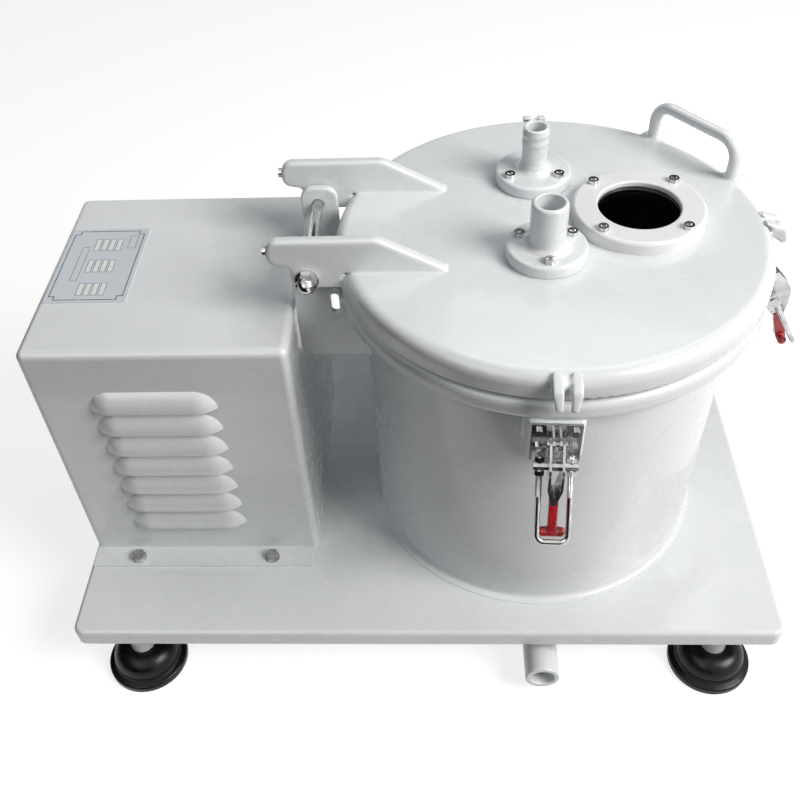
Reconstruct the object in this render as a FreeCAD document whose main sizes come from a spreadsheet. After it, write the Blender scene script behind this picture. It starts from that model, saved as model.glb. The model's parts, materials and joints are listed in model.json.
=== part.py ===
import FreeCAD, Part
import math
import os

import Sketcher
from FreeCAD import Placement, Rotation, Vector

# A belt-driven basket centrifuge. X runs from the motor to the drum, Y to the back, Z up.
# The origin is on the floor, under the middle of the base plate. All lengths are in millimetres.

SIZES = {
    # base plate, a steel sheet with its edges turned down
    "plate_width": 757, "plate_depth": 454, "plate_thick": 6, "plate_top": 88,
    "skirt_height": 21, "skirt_wall": 4, "plate_edge_round": 5, "plate_corner_round": 12,
    # feet: a welded post, a threaded stud and a moulded rubber bell
    "foot_inset_x": 62, "foot_inset_y": 21, "post_radius": 13.5,
    "foot_height": 35, "foot_brim_radius": 44, "foot_brim_height": 9, "foot_dome_radius": 36.5,
    "foot_recess_depth": 3, "foot_recess_radius": 30, "foot_ring_radius": 33.5,
    "stud_radius": 6, "stud_in_foot": 18, "stud_in_post": 30,
    # casing
    "drum_x": 127.5, "casing_radius": 183, "casing_wall": 4, "casing_height": 325,
    "casing_weld": 8, "weld_toe": 1, "weld_round": 6.4, "casing_floor_thick": 6,
    "flange_width": 24, "flange_height": 22, "flange_round": 8,
    "gasket_thick": 3.4, "gasket_outer_inset": 5, "gasket_inner_inset": 4,
    # drain: a pipe that turns from the casing floor to the front
    "drain_radius": 18.5, "drain_bore": 12.5, "drain_offset": 150, "drain_bend": 30,
    "drain_height": 32, "drain_reach": 248,
    # lid
    "lid_gap": 0.3, "lid_height": 26.5, "lid_skin": 8, "lid_rim": 22, "lid_round": 7,
    # hinge between the casing and the lid
    "hinge_out": 21, "hinge_z": 437, "hinge_y": 4, "pin_radius": 5.5, "arm_offset": 65,
    "arm_thick": 12, "arm_top": 478, "arm_tail": 35, "arm_peak": 67, "arm_toe": 128,
    "arm_drop": 11.5, "arm_round": 3, "arm_tail_drop": 26, "arm_boss_back": 15, "arm_root": 42,
    "ear_gap": 1.5, "ear_thick": 8, "ear_left": 17,
    "ear_right": 20, "ear_above": 18, "ear_foot": 330, "ear_corner": 12,
    "ear_slot_length": 24, "ear_slot_width": 8, "ear_slot_beside": 1.5, "ear_slot_below": 5,
    "pin_nut_flats": 17, "pin_nut_thick": 8, "pin_dome_radius": 8, "pin_washer_radius": 11,
    "pin_washer_thick": 2, "stop_screw_radius": 3, "stop_screw_head": 4.5,
    "stop_screw_length": 14, "stop_screw_proud": 3, "stop_screw_drop": 13,
    # fork lugs on the lid's rim, one above each latch
    "prong_gap": 6, "prong_width": 9.5, "prong_tip_width": 4.5, "prong_tip_gap": 8,
    "prong_root": 7, "prong_reach": 19, "prong_drop": 24, "prong_back_drop": 15,
    "prong_shoulder": 12, "prong_rise": 2, "prong_tip_thick": 5,
    "fork_angle_right": 2, "fork_angle_front": -91.3, "fork_angle_back": 90,
    # handle on the lid
    "handle_inset": 13.5, "handle_angle": 37.7, "handle_width": 104, "handle_rise": 39,
    "handle_rod": 6, "handle_bend": 20, "handle_sink": 8,
    # hose nozzles on the lid
    "nozzle_flange_radius": 38, "nozzle_flange_thick": 12, "feed_height": 57, "wash_height": 59,
    "nozzle_screw_circle": 28, "nozzle_flange_round": 3, "feed_rim_round": 3.5,
    "feed_x": -8.5, "feed_y": -43, "feed_radius": 17, "feed_bore": 12.5,
    "wash_x": -11.5, "wash_y": 83, "wash_radius": 13.5, "wash_bore": 9, "barb_rise": 1,
    "barb_pitch": 9, "barb_top": 3, "barb_length": 6,
    # sight glass in the lid
    "sight_x": 83.5, "sight_y": 15, "sight_radius": 63.5, "sight_height": 13, "sight_hole": 39,
    "glass_radius": 46, "glass_thick": 7, "glass_gasket": 1, "glass_clearance": 0.3,
    "sight_screw_circle": 55, "sight_screw_angle": 45,
    # socket head cap screws of the nozzles and the sight glass
    "cap_head_radius": 5, "cap_head_height": 4, "cap_shank_radius": 3, "cap_socket_flats": 5,
    "cap_socket_depth": 2.4, "cap_head_clearance": 0.3,
    # toggle latches, measured outward from the drum's axis and down from the casing's flange
    "pad_proud": 3, "pad_half_width": 25, "pad_length": 43, "pad_round": 8, "pad_sunk": 12,
    "latch_plate_half": 21.5, "latch_plate_above": 3, "latch_plate_height": 44,
    "latch_plate_thick": 2.5, "latch_pivot_out": 11, "latch_pivot_down": 14,
    "latch_pin_radius": 2.5, "latch_pin_head": 4, "latch_pin_head_thick": 1.5,
    "latch_pin_spare": 0.4, "latch_ear_offset": 2, "latch_ear_thick": 2, "latch_ear_radius": 6,
    "latch_screw_x": 15.5, "latch_screw_low": 27, "latch_screw_high": 8, "latch_screw_head": 3.5,
    "latch_screw_head_height": 3, "latch_screw_shank": 2, "latch_screw_length": 10,
    "lever_plate_offset": 4.5, "lever_plate_thick": 2, "lever_bulge": 18, "lever_nose": 5.5,
    "trunnion_out": 5, "trunnion_down": 22, "trunnion_radius": 4.5, "trunnion_length": 38,
    "bolt_rod": 2.5, "bolt_half_width": 13.5, "bolt_reach": 70, "bolt_tail": 10, "bolt_tilt": 30,
    "bolt_bend": 7, "bolt_nut_flats": 8, "bolt_nut_thick": 4,
    "grip_half": 12.5, "grip_radius": 4.6, "grip_stem_half": 4, "grip_out": 24, "grip_down": 60,
    "grip_length": 35, "grip_lean": 17, "lever_close": 34, "lever_end": 18,
    "latch_angle_right": 1, "latch_angle_front": -92.5, "latch_angle_back": 90,
    # motor cover, a sheet steel hood with louvres
    "cover_margin": 2, "cover_gap": 2, "cover_front": -116, "cover_depth": 259,
    "cover_height": 303.5, "cover_wall": 2.5, "cover_round": 8, "cover_flange_depth": 26,
    "cover_flange_thick": 3, "cover_flange_inset": 2, "cover_bolt_inset": 15,
    "louvre_inset": 55, "louvre_length": 126, "louvre_rise": 22, "louvre_proud": 9.5, "louvre_first": 50,
    "louvre_pitch": 30.3, "louvre_count": 7, "cover_bolt_left": 53, "cover_bolt_right": 205.5,
    "plate_bolt_flats": 13, "plate_bolt_head": 5.3, "plate_bolt_radius": 4,
    "plate_washer_radius": 8, "plate_washer_thick": 1.6, "plate_bolt_length": 16,
    # nameplate on the cover, and the cable gland in its side
    "badge_inset": 7, "badge_front": -41, "badge_width": 82, "badge_length": 122,
    "badge_thick": 0.8, "gland_y": 100, "gland_z": 130, "gland_flats": 24, "gland_nut": 7,
    "gland_radius": 10, "gland_bore": 4, "gland_dome": 7.5, "gland_lock_nut": 4,
    # motor, stood upright in the cover
    "motor_flange_radius": 78, "motor_flange_thick": 10,
    "motor_radius": 60, "motor_body": 165, "motor_fins": 24, "motor_fin_height": 10,
    "motor_fin_thick": 3, "motor_fin_margin": 12, "fan_cover_height": 46, "fan_cover_wall": 1.5,
    "fan_radius": 52,
    "fan_blades": 6, "fan_blade_height": 22, "fan_hub_radius": 16, "fan_gap": 6, "fan_plate": 2,
    "grille_hole": 4, "shaft_radius": 9.5, "shaft_end": 2,
    "terminal_length": 84, "terminal_height": 60, "terminal_depth": 38, "terminal_below": 20,
    "mount_plate_width": 190, "mount_plate_depth": 176, "mount_plate_thick": 8,
    "mount_plate_round": 6,
    "mount_slot_length": 24, "mount_slot_x": 78, "mount_slot_y": 72,
    "motor_bolt_circle": 68, "motor_shaft_hole": 30,
    # belt drive under the base plate
    "spindle_pulley_radius": 50, "motor_pulley_radius": 35, "pulley_bottom": 17,
    "belt_width": 20, "belt_thick": 4, "belt_gap": 0.3, "belt_side_gap": 0.5, "pulley_rim": 4,
    "rim_thick": 2.5,
    "pulley_hub_radius": 20, "pulley_hub_height": 6,
    # bearing housing and bearings
    "housing_radius": 45, "housing_flange_radius": 75, "housing_flange_thick": 10,
    "housing_bottom": 62, "housing_top": 170, "bearing_outer": 31, "bearing_width": 16,
    "bearing_low": 64, "bearing_high": 146, "bearing_bore": 15, "bearing_shoulder": 26,
    "ball_circle": 23, "ball_radius": 4.75, "ball_count": 9, "ball_clearance": 0.05,
    "race_outer_inside": 26, "race_inner_outside": 20, "seal_height": 8,
    "housing_bolt_circle": 62, "housing_bolts": 6, "running_clearance": 0.05, "hole_clearance": 0.2,
    # spindle and basket
    "spindle_shoulder": 18, "spindle_seat": 14, "spindle_thread": 10, "spindle_end": 8,
    "basket_radius": 150, "basket_wall": 3, "basket_bottom": 198, "basket_height": 150,
    "basket_floor": 8, "basket_lip": 118, "basket_lip_thick": 4, "hub_radius": 30,
    "hub_height": 44, "hub_below": 10, "hub_cap_radius": 16, "hub_cap_height": 20,
    "hub_cap_roof": 4,
    "hole_radius": 4, "hole_rows": 4, "holes_per_row": 24, "hole_row_pitch": 30,
    "hole_first_row": 28, "pulley_nut_flats": 24, "pulley_nut_thick": 8,
}

DOC = FreeCAD.newDocument("BasketCentrifuge")
NODES = {}


class Size:
    """A length or angle: its value, and the formula on the sheet that gives it."""

    def __init__(self, value, formula=None):
        self.value = float(value)
        self.formula = formula or repr(float(value))

    def __add__(self, other):
        other = size(other)
        return Size(self.value + other.value, f"({self.formula} + {other.formula})")

    def __radd__(self, other):
        return size(other) + self

    def __sub__(self, other):
        other = size(other)
        return Size(self.value - other.value, f"({self.formula} - {other.formula})")

    def __rsub__(self, other):
        return size(other) - self

    def __mul__(self, other):
        other = size(other)
        return Size(self.value * other.value, f"({self.formula} * {other.formula})")

    def __rmul__(self, other):
        return size(other) * self

    def __truediv__(self, other):
        other = size(other)
        return Size(self.value / other.value, f"({self.formula} / {other.formula})")

    def __neg__(self):
        return Size(-self.value, f"(0 - {self.formula})")


def size(value):
    return value if isinstance(value, Size) else Size(value)


def root(s):
    return Size(math.sqrt(s.value), f"sqrt({s.formula})")


def sine(angle):
    angle = size(angle)
    return Size(math.sin(math.radians(angle.value)), f"sin({angle.formula})")


def cosine(angle):
    angle = size(angle)
    return Size(math.cos(math.radians(angle.value)), f"cos({angle.formula})")


def make_sheet():
    """Writes the driving dimensions on the sheet and gives each its alias."""
    sheet = DOC.addObject("Spreadsheet::Sheet", "Sizes")
    for row, (name, value) in enumerate(SIZES.items(), 1):
        sheet.set(f"A{row}", name)
        sheet.set(f"B{row}", str(value))
        sheet.setAlias(f"B{row}", name)
    DOC.recompute()


class Sheet:
    """Reads the driving dimensions as Size values: S.plate_width and so on."""

    def __getattr__(self, name):
        return Size(SIZES[name], "Sizes." + name)


S = Sheet()


# ---------------------------------------------------------------- modelling helpers


def bind(thing, prop, value):
    """Sets a property, and ties it to the sheet where the value comes from there."""
    value = size(value)
    if "Sizes." in value.formula:
        thing.setExpression(prop, value.formula)
    elif not prop.startswith("."):
        setattr(thing, prop, value.value)


def place(thing, at=(0, 0, 0), axis=(0, 0, 1), turn=0):
    """Puts a piece at a point, turned about an axis through its own origin."""
    spots = [size(v) for v in at]
    turn = size(turn)
    spin = Rotation(Vector(*axis), turn.value)
    thing.Placement = Placement(Vector(*[v.value for v in spots]), spin)
    for letter, spot in zip("xyz", spots):
        bind(thing, ".Placement.Base." + letter, spot)
    if "Sizes." in turn.formula:
        thing.setExpression(".Placement.Rotation.Angle", turn.formula)
    return thing


UPRIGHT = {"Z": ((0, 0, 1), 0), "X": ((0, 1, 0), 90), "Y": ((1, 0, 0), -90), "-Z": ((1, 0, 0), 180)}
UPRIGHT["-X"] = ((0, 1, 0), -90)
UPRIGHT["-Y"] = ((1, 0, 0), 90)


def primitive(kind, name, at, along, **lengths):
    thing = DOC.addObject("Part::" + kind, name)
    for prop, value in lengths.items():
        bind(thing, prop, value)
    axis, turn = UPRIGHT[along]
    return place(thing, at, axis, turn)


def box(name, spans, at):
    return primitive("Box", name, at, "Z", Length=spans[0], Width=spans[1], Height=spans[2])


def rod(name, radius, length, at=(0, 0, 0), along="Z"):
    return primitive("Cylinder", name, at, along, Radius=radius, Height=length)


def ball(name, radius, at):
    return primitive("Sphere", name, at, "Z", Radius=radius)


def prism(name, flats, length, at=(0, 0, 0), along="Z"):
    """A hexagonal bar, given across its flats."""
    corner = size(flats) / math.sqrt(3)
    return primitive("Prism", name, at, along, Circumradius=corner, Height=length)


def join(name, *pieces):
    thing = DOC.addObject("Part::MultiFuse", name)
    thing.Shapes = list(pieces)
    return thing


def cut(name, base, *tools):
    result = DOC.addObject("Part::Cut", name)
    result.Base = base
    result.Tool = tools[0] if len(tools) == 1 else join(name + "_tools", *tools)
    return result


def common(name, *pieces):
    thing = DOC.addObject("Part::MultiCommon", name)
    thing.Shapes = list(pieces)
    return thing


def group(name, pieces):
    """Identical pieces that stay separate solids and share one node."""
    thing = DOC.addObject("Part::Compound", name)
    thing.Links = list(pieces)
    return thing


def node(name, thing):
    """Names a finished sub-part, which is then written out."""
    thing.Label = name
    NODES[name] = thing
    return thing


def sketch(body, name, role):
    page = body.newObject("Sketcher::SketchObject", name)
    plane = [f for f in body.Origin.OriginFeatures if f.Role == role][0]
    page.AttachmentSupport = [(plane, "")]
    page.MapMode = "FlatFace"
    return page


def fix(page, kind, value, *where):
    """A dimension in a sketch, tied to the sheet."""
    value = size(value)
    index = page.addConstraint(Sketcher.Constraint(kind, *where, value.value))
    if "Sizes." in value.formula:
        page.setExpression(f"Constraints[{index}]", value.formula)


def corner_arc(before, at, after, radius):
    """The start, end, centre and turning sense of the arc that rounds a corner."""
    back = (before - at).normalize()
    ahead = (after - at).normalize()
    half = back.getAngle(ahead) / 2
    run = radius / math.tan(half)
    centre = at + (back + ahead).normalize() * (radius / math.sin(half))
    turns_left = back.cross(ahead).z < 0
    return at + back * run, at + ahead * run, centre, turns_left


def draw(page, points, closed=True):
    """Draws straight runs through the points. A point's third value rounds its corner."""
    corners = [[size(v) for v in p] for p in points]
    spots = [Vector(c[0].value, c[1].value, 0) for c in corners]
    count = len(spots)
    inner = range(count) if closed else range(1, count - 1)
    ends, starts, arcs = {}, {}, {}
    for i in range(count):
        ends[i] = starts[i] = spots[i]
        if i in inner and len(corners[i]) > 2:
            arc = corner_arc(spots[i - 1], spots[i], spots[(i + 1) % count], corners[i][2].value)
            ends[i], starts[i] = arc[0], arc[1]
            arcs[i] = arc
    runs = count if closed else count - 1
    lines = [
        page.addGeometry(Part.LineSegment(starts[i], ends[(i + 1) % count]), False)
        for i in range(runs)
    ]
    for i in inner:
        into, out = lines[i - 1], lines[i % runs]
        if i not in arcs:
            page.addConstraint(Sketcher.Constraint("Coincident", into, 2, out, 1))
            pin_down(page, corners[i], out, 1)
            continue
        start, end, centre, left = arcs[i]
        radius = corners[i][2]
        circle = Part.Circle(centre, Vector(0, 0, 1), radius.value)
        first, last = (start, end) if left else (end, start)
        from_angle = math.atan2(first.y - centre.y, first.x - centre.x)
        to_angle = math.atan2(last.y - centre.y, last.x - centre.x)
        arc = page.addGeometry(Part.ArcOfCircle(circle, from_angle, to_angle), False)
        begins, ends_at = (1, 2) if left else (2, 1)
        page.addConstraint(Sketcher.Constraint("Tangent", into, 2, arc, begins))
        page.addConstraint(Sketcher.Constraint("Tangent", out, 1, arc, ends_at))
        mark = page.addGeometry(Part.Point(spots[i]), True)
        page.addConstraint(Sketcher.Constraint("PointOnObject", mark, 1, into))
        page.addConstraint(Sketcher.Constraint("PointOnObject", mark, 1, out))
        pin_down(page, corners[i], mark, 1)
        fix(page, "Radius", radius, arc)
    if not closed:
        pin_down(page, corners[0], lines[0], 1)
        pin_down(page, corners[-1], lines[-1], 2)


def pin_down(page, corner, geometry, end):
    fix(page, "DistanceX", corner[0], -1, 1, geometry, end)
    fix(page, "DistanceY", corner[1], -1, 1, geometry, end)


def circles(page, spots, radius):
    for x, y in spots:
        x, y, radius = size(x), size(y), size(radius)
        circle = Part.Circle(Vector(x.value, y.value, 0), Vector(0, 0, 1), radius.value)
        number = page.addGeometry(circle, False)
        pin_down(page, (x, y), number, 3)
        fix(page, "Radius", radius, number)


def turned(name, points):
    """A body of revolution about its own Z axis, from an outline of radii and heights."""
    body = DOC.addObject("PartDesign::Body", name)
    page = sketch(body, name + "_profile", "XZ_Plane")
    draw(page, points)
    spin = body.newObject("PartDesign::Revolution", name + "_turn")
    spin.Profile = page
    spin.ReferenceAxis = (page, ["V_Axis"])
    spin.Angle = 360
    return body


def slab(name, points, thick, role="XY_Plane", middle=False):
    """A flat piece of even thickness, from its outline."""
    body = DOC.addObject("PartDesign::Body", name)
    page = sketch(body, name + "_outline", role)
    draw(page, points)
    pad = body.newObject("PartDesign::Pad", name + "_pad")
    pad.Profile = page
    bind(pad, "Length", thick)
    if middle:
        pad.SideType = "Symmetric"
    return body


def pocket(body, name, role, depth=None, points=None, spots=None, radius=None, upward=False):
    """Cuts an outline or round holes into a body, right through where no depth is given."""
    DOC.recompute()
    before = body.Shape.Volume
    page = sketch(body, name + "_sketch", role)
    if points:
        draw(page, points)
    else:
        circles(page, spots, radius)
    hole = body.newObject("PartDesign::Pocket", name)
    hole.Profile = page
    if depth is None:
        hole.Type = "ThroughAll"
        hole.SideType = "Symmetric"
    else:
        bind(hole, "Length", depth)
        hole.Reversed = upward
    DOC.recompute()
    if body.Shape.Volume >= before:
        raise RuntimeError(name + " cuts nothing")
    return hole


def round_edges(body, name, radius, wanted):
    """Rounds the edges of a body that the test picks out."""
    DOC.recompute()
    whole = body.Tip
    names = [f"Edge{i}" for i, edge in enumerate(whole.Shape.Edges, 1) if wanted(edge)]
    fillet = body.newObject("PartDesign::Fillet", name)
    fillet.Base = (whole, names)
    bind(fillet, "Radius", radius)
    return fillet


def lies_at(edge, height, slack=0.01):
    """Whether an edge lies flat at a height."""
    bounds = edge.BoundBox
    return abs(bounds.ZMin - height) < slack and abs(bounds.ZMax - height) < slack


# ---------------------------------------------------------------- places worked out once


PLATE_UNDER = S.plate_top - S.plate_thick
SKIRT_BOTTOM = S.plate_top - S.skirt_height
FLANGE_RADIUS = S.casing_radius + S.flange_width
HINGE_X = S.drum_x - FLANGE_RADIUS - S.hinge_out
FLANGE_TOP = S.plate_top + S.casing_height
FLANGE_BOTTOM = FLANGE_TOP - S.flange_height
LID_BASE = FLANGE_TOP + S.gasket_thick + S.lid_gap
LID_TOP = LID_BASE + S.lid_height
COVER_LEFT = S.cover_margin - S.plate_width / 2
COVER_RIGHT = HINGE_X - S.ear_left - S.cover_gap
COVER_WIDTH = COVER_RIGHT - COVER_LEFT
MOTOR_X = (COVER_LEFT + COVER_RIGHT) / 2
COVER_BACK = S.cover_front + S.cover_depth
COVER_TOP = S.plate_top + S.cover_height
MOTOR_FLANGE_BOTTOM = S.plate_top + S.mount_plate_thick
MOTOR_BODY_BOTTOM = MOTOR_FLANGE_BOTTOM + S.motor_flange_thick
MOTOR_BODY_TOP = MOTOR_BODY_BOTTOM + S.motor_body
BELT_BOTTOM = S.pulley_bottom + S.rim_thick + S.belt_side_gap
FEED_AT = (S.drum_x + S.feed_x, S.feed_y, LID_TOP)
WASH_AT = (S.drum_x + S.wash_x, S.wash_y, LID_TOP)
SIGHT_AT = (S.drum_x + S.sight_x, S.sight_y, LID_TOP)
DRUM = (S.drum_x, 0, 0)
CENTRE = (size(0), size(0))
LATCHES = {
    "right": S.latch_angle_right,
    "front": S.latch_angle_front,
    "back": S.latch_angle_back,
}
FORKS = {
    "right": S.fork_angle_right,
    "front": S.fork_angle_front,
    "back": S.fork_angle_back,
}
PAD_FACE = FLANGE_RADIUS + S.pad_proud
LATCH_PLATE_TOP = FLANGE_BOTTOM + S.latch_plate_above
PIVOT_R = PAD_FACE + S.latch_pivot_out
PIVOT_Z = LATCH_PLATE_TOP - S.latch_pivot_down
BAR_R = PIVOT_R + S.trunnion_out
BAR_Z = PIVOT_Z - S.trunnion_down
GRIP_R = BAR_R + S.grip_out
GRIP_Z = BAR_Z - S.grip_down


def around(centre, radius, angle):
    """A point on a circle, at an angle in degrees."""
    return (centre[0] + radius * cosine(angle), centre[1] + radius * sine(angle))


FEED_SCREW_ANGLES = (30, 150, 270)
WASH_SCREW_ANGLES = (210, 330, 90)
NOZZLE_SCREWS = [around(FEED_AT, S.nozzle_screw_circle, a) for a in FEED_SCREW_ANGLES]
NOZZLE_SCREWS += [around(WASH_AT, S.nozzle_screw_circle, a) for a in WASH_SCREW_ANGLES]
SIGHT_SCREWS = [
    around(SIGHT_AT, S.sight_screw_circle, S.sight_screw_angle + quarter)
    for quarter in (0, 90, 180, 270)
]
FEET = [
    (side * (S.plate_width / 2 - S.foot_inset_x), way * (S.plate_depth / 2 - S.foot_inset_y))
    for side in (-1, 1)
    for way in (-1, 1)
]
COVER_BOLTS = [
    (COVER_LEFT + along, y)
    for y in (S.cover_front - S.cover_bolt_inset, COVER_BACK + S.cover_bolt_inset)
    for along in (S.cover_bolt_left, S.cover_bolt_right)
]
SLOT_BOLTS = [
    (MOTOR_X + side * S.mount_slot_x, way * S.mount_slot_y)
    for side in (-1, 1)
    for way in (-1, 1)
]
MOTOR_BOLTS = [
    around((MOTOR_X, size(0)), S.motor_bolt_circle, 45 + 90 * quarter) for quarter in range(4)
]
HOUSING_BOLTS = [
    around(DRUM, S.housing_bolt_circle, 360 * i / SIZES["housing_bolts"])
    for i in range(SIZES["housing_bolts"])
]


# ---------------------------------------------------------------- fasteners


def hex_bolt(name, x, y, seat, grip, washer=True, along="Z"):
    """A hexagon bolt whose head and washer sit on a face and whose shank goes the other way."""
    down = "-Z" if along == "Z" else "Z"
    up = 1 if along == "Z" else -1
    pieces = []
    head_at = seat
    at = (x, y, seat)
    if washer:
        pieces.append(rod(name + "_washer", S.plate_washer_radius, S.plate_washer_thick, at, along))
        head_at = seat + up * S.plate_washer_thick
    head_at = (x, y, head_at)
    pieces.append(prism(name + "_head", S.plate_bolt_flats, S.plate_bolt_head, head_at, along))
    pieces.append(rod(name + "_shank", S.plate_bolt_radius, grip, at, down))
    return join(name, *pieces)


def cap_screw(name, x, y, seat, grip):
    """A socket head cap screw, head up, with its hexagon socket."""
    head = rod(name + "_head", S.cap_head_radius, S.cap_head_height, (x, y, seat))
    shank = rod(name + "_shank", S.cap_shank_radius, grip, (x, y, seat), "-Z")
    socket_at = (x, y, seat + S.cap_head_height - S.cap_socket_depth)
    socket = prism(name + "_socket", S.cap_socket_flats, S.cap_socket_depth, socket_at)
    return cut(name, join(name + "_blank", head, shank), socket)


# ---------------------------------------------------------------- base and feet


def make_base_plate():
    half_x, half_y = S.plate_width / 2, S.plate_depth / 2
    rim = [(-half_x, -half_y), (half_x, -half_y), (half_x, half_y), (-half_x, half_y)]
    body = slab("base_plate", [(*p, S.plate_corner_round) for p in rim], S.skirt_height)
    place(body, (0, 0, SKIRT_BOTTOM))
    top = SIZES["skirt_height"]
    round_edges(body, "plate_edge", S.plate_edge_round, lambda e: lies_at(e, top))
    inner_x, inner_y = half_x - S.skirt_wall, half_y - S.skirt_wall
    hollow = [(-inner_x, -inner_y), (inner_x, -inner_y), (inner_x, inner_y), (-inner_x, inner_y)]
    inner_round = S.plate_corner_round - S.skirt_wall
    depth = S.skirt_height - S.plate_thick
    hollow = [(*p, inner_round) for p in hollow]
    pocket(body, "plate_hollow", "XY_Plane", depth, points=hollow, upward=True)
    for name, spot, radius in (
        ("housing_hole", (S.drum_x, 0), S.housing_radius + S.hole_clearance),
        ("drain_hole", (S.drum_x, -S.drain_offset), S.drain_radius + S.hole_clearance),
        ("shaft_hole", (MOTOR_X, 0), S.motor_shaft_hole),
    ):
        pocket(body, name, "XY_Plane", spots=[spot], radius=radius)
    bolt_hole = S.plate_bolt_radius + S.running_clearance
    spots = COVER_BOLTS + SLOT_BOLTS + HOUSING_BOLTS
    pocket(body, "bolt_holes", "XY_Plane", spots=spots, radius=bolt_hole)
    node("base_plate", body)


def make_feet():
    """Four posts under the plate, each with a stud and a rubber bell."""
    posts, studs, bells = [], [], []
    for number, (x, y) in enumerate(FEET, 1):
        fit = S.stud_radius + S.running_clearance
        post = turned(
            f"post_{number}",
            [
                (fit, S.foot_height),
                (S.post_radius, S.foot_height),
                (S.post_radius, PLATE_UNDER),
                (fit, PLATE_UNDER),
            ],
        )
        posts.append(place(post, (x, y, 0)))
        length = S.stud_in_foot + S.stud_in_post
        stud_at = (x, y, S.foot_height - S.stud_in_foot)
        studs.append(rod(f"stud_{number}", S.stud_radius, length, stud_at))
        bell = turned(f"bell_{number}", bell_outline())
        bells.append(place(bell, (x, y, 0)))
    node("foot_posts", group("foot_posts", posts))
    node("foot_studs", group("foot_studs", studs))
    node("rubber_feet", group("rubber_feet", bells))


def bell_outline():
    """A rubber foot: a ring on the floor, a brim and a dome, with a blind hole for the stud."""
    brim = S.foot_brim_radius
    neck = S.foot_brim_height + 2
    seat = S.foot_height - S.stud_in_foot
    return [
        (0, S.foot_recess_depth),
        (S.foot_recess_radius, S.foot_recess_depth),
        (S.foot_ring_radius, 0),
        (brim, 0, 2),
        (brim, S.foot_brim_height, 3),
        (S.foot_dome_radius + 1.5, neck, 1),
        (S.foot_dome_radius, neck + 3, 1),
        (S.foot_dome_radius, S.foot_height, S.foot_height - neck - 4),
        (S.stud_radius, S.foot_height),
        (S.stud_radius, seat),
        (0, seat),
    ]


# ---------------------------------------------------------------- casing


def make_casing():
    inner = S.casing_radius - S.casing_wall
    top = S.casing_height
    wall = turned(
        "casing_wall",
        [
            (inner, 0),
            (S.casing_radius + S.casing_weld, 0),
            (S.casing_radius + S.casing_weld, S.weld_toe),
            (S.casing_radius, S.weld_toe, S.weld_round),
            (S.casing_radius, top),
            (inner, top),
        ],
    )
    node("casing_wall", place(wall, (S.drum_x, 0, S.plate_top)))
    flange = turned(
        "casing_flange",
        [
            (S.casing_radius, 0),
            (FLANGE_RADIUS, 0, S.flange_round),
            (FLANGE_RADIUS, S.flange_height, S.flange_round),
            (S.casing_radius, S.flange_height),
        ],
    )
    node("casing_flange", place(flange, (S.drum_x, 0, FLANGE_BOTTOM)))
    disc = rod("floor_disc", inner, S.casing_floor_thick, (S.drum_x, 0, S.plate_top))
    reach = S.casing_floor_thick * 3
    low = S.plate_top - S.casing_floor_thick
    centre_radius = S.housing_radius + S.hole_clearance
    centre = rod("floor_centre", centre_radius, reach, (S.drum_x, 0, low))
    sump = rod("floor_sump", S.drain_bore, reach, (S.drum_x, -S.drain_offset, low))
    bolts = [
        rod(f"floor_bolt_{i}", S.plate_bolt_radius + S.running_clearance, reach, (x, y, low))
        for i, (x, y) in enumerate(HOUSING_BOLTS)
    ]
    node("casing_floor", cut("casing_floor", disc, centre, sump, *bolts))
    outer = FLANGE_RADIUS - S.gasket_outer_inset
    hole = S.casing_radius + S.gasket_inner_inset
    gasket_at = (S.drum_x, 0, FLANGE_TOP)
    disc = rod("gasket_disc", outer, S.gasket_thick, gasket_at)
    opening = rod("gasket_hole", hole, S.gasket_thick, gasket_at)
    node("casing_gasket", cut("casing_gasket", disc, opening))


def make_drain():
    """A pipe that leaves the casing floor, turns under the plate and ends at the front."""
    body = DOC.addObject("PartDesign::Body", "drain_pipe")
    path = sketch(body, "drain_path", "YZ_Plane")
    low = S.drain_height - S.plate_top
    bend = (-S.drain_offset, low, S.drain_bend)
    draw(path, [(-S.drain_offset, 0), bend, (-S.drain_reach, low)], closed=False)
    ring = sketch(body, "drain_ring", "XY_Plane")
    circles(ring, [(0, -S.drain_offset)], S.drain_radius)
    circles(ring, [(0, -S.drain_offset)], S.drain_bore)
    pipe = body.newObject("PartDesign::AdditivePipe", "drain_sweep")
    pipe.Profile = ring
    pipe.Spine = path
    node("drain_pipe", place(body, (S.drum_x, 0, S.plate_top)))


def make_latch_pads():
    pads = []
    for side, angle in LATCHES.items():
        back = S.casing_radius - S.pad_sunk
        outline = [
            (back, -S.pad_half_width),
            (PAD_FACE, -S.pad_half_width, S.pad_round),
            (PAD_FACE, S.pad_half_width, S.pad_round),
            (back, S.pad_half_width),
        ]
        block = slab("pad_block_" + side, outline, S.pad_length)
        place(block, (0, 0, FLANGE_BOTTOM - S.pad_length))
        wall = rod("pad_wall_" + side, S.casing_radius, FLANGE_TOP)
        holes = latch_screw_rods("pad_hole_" + side, S.latch_screw_shank + S.running_clearance)
        pad = cut("pad_" + side, block, wall, *holes)
        pads.append(place(pad, DRUM, turn=angle))
    node("latch_pads", group("latch_pads", pads))


# ---------------------------------------------------------------- hinge


def hinge_side(way):
    """The middle of the front (-1) or back (1) arm, measured across the hinge."""
    return S.hinge_y + way * S.arm_offset


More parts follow.
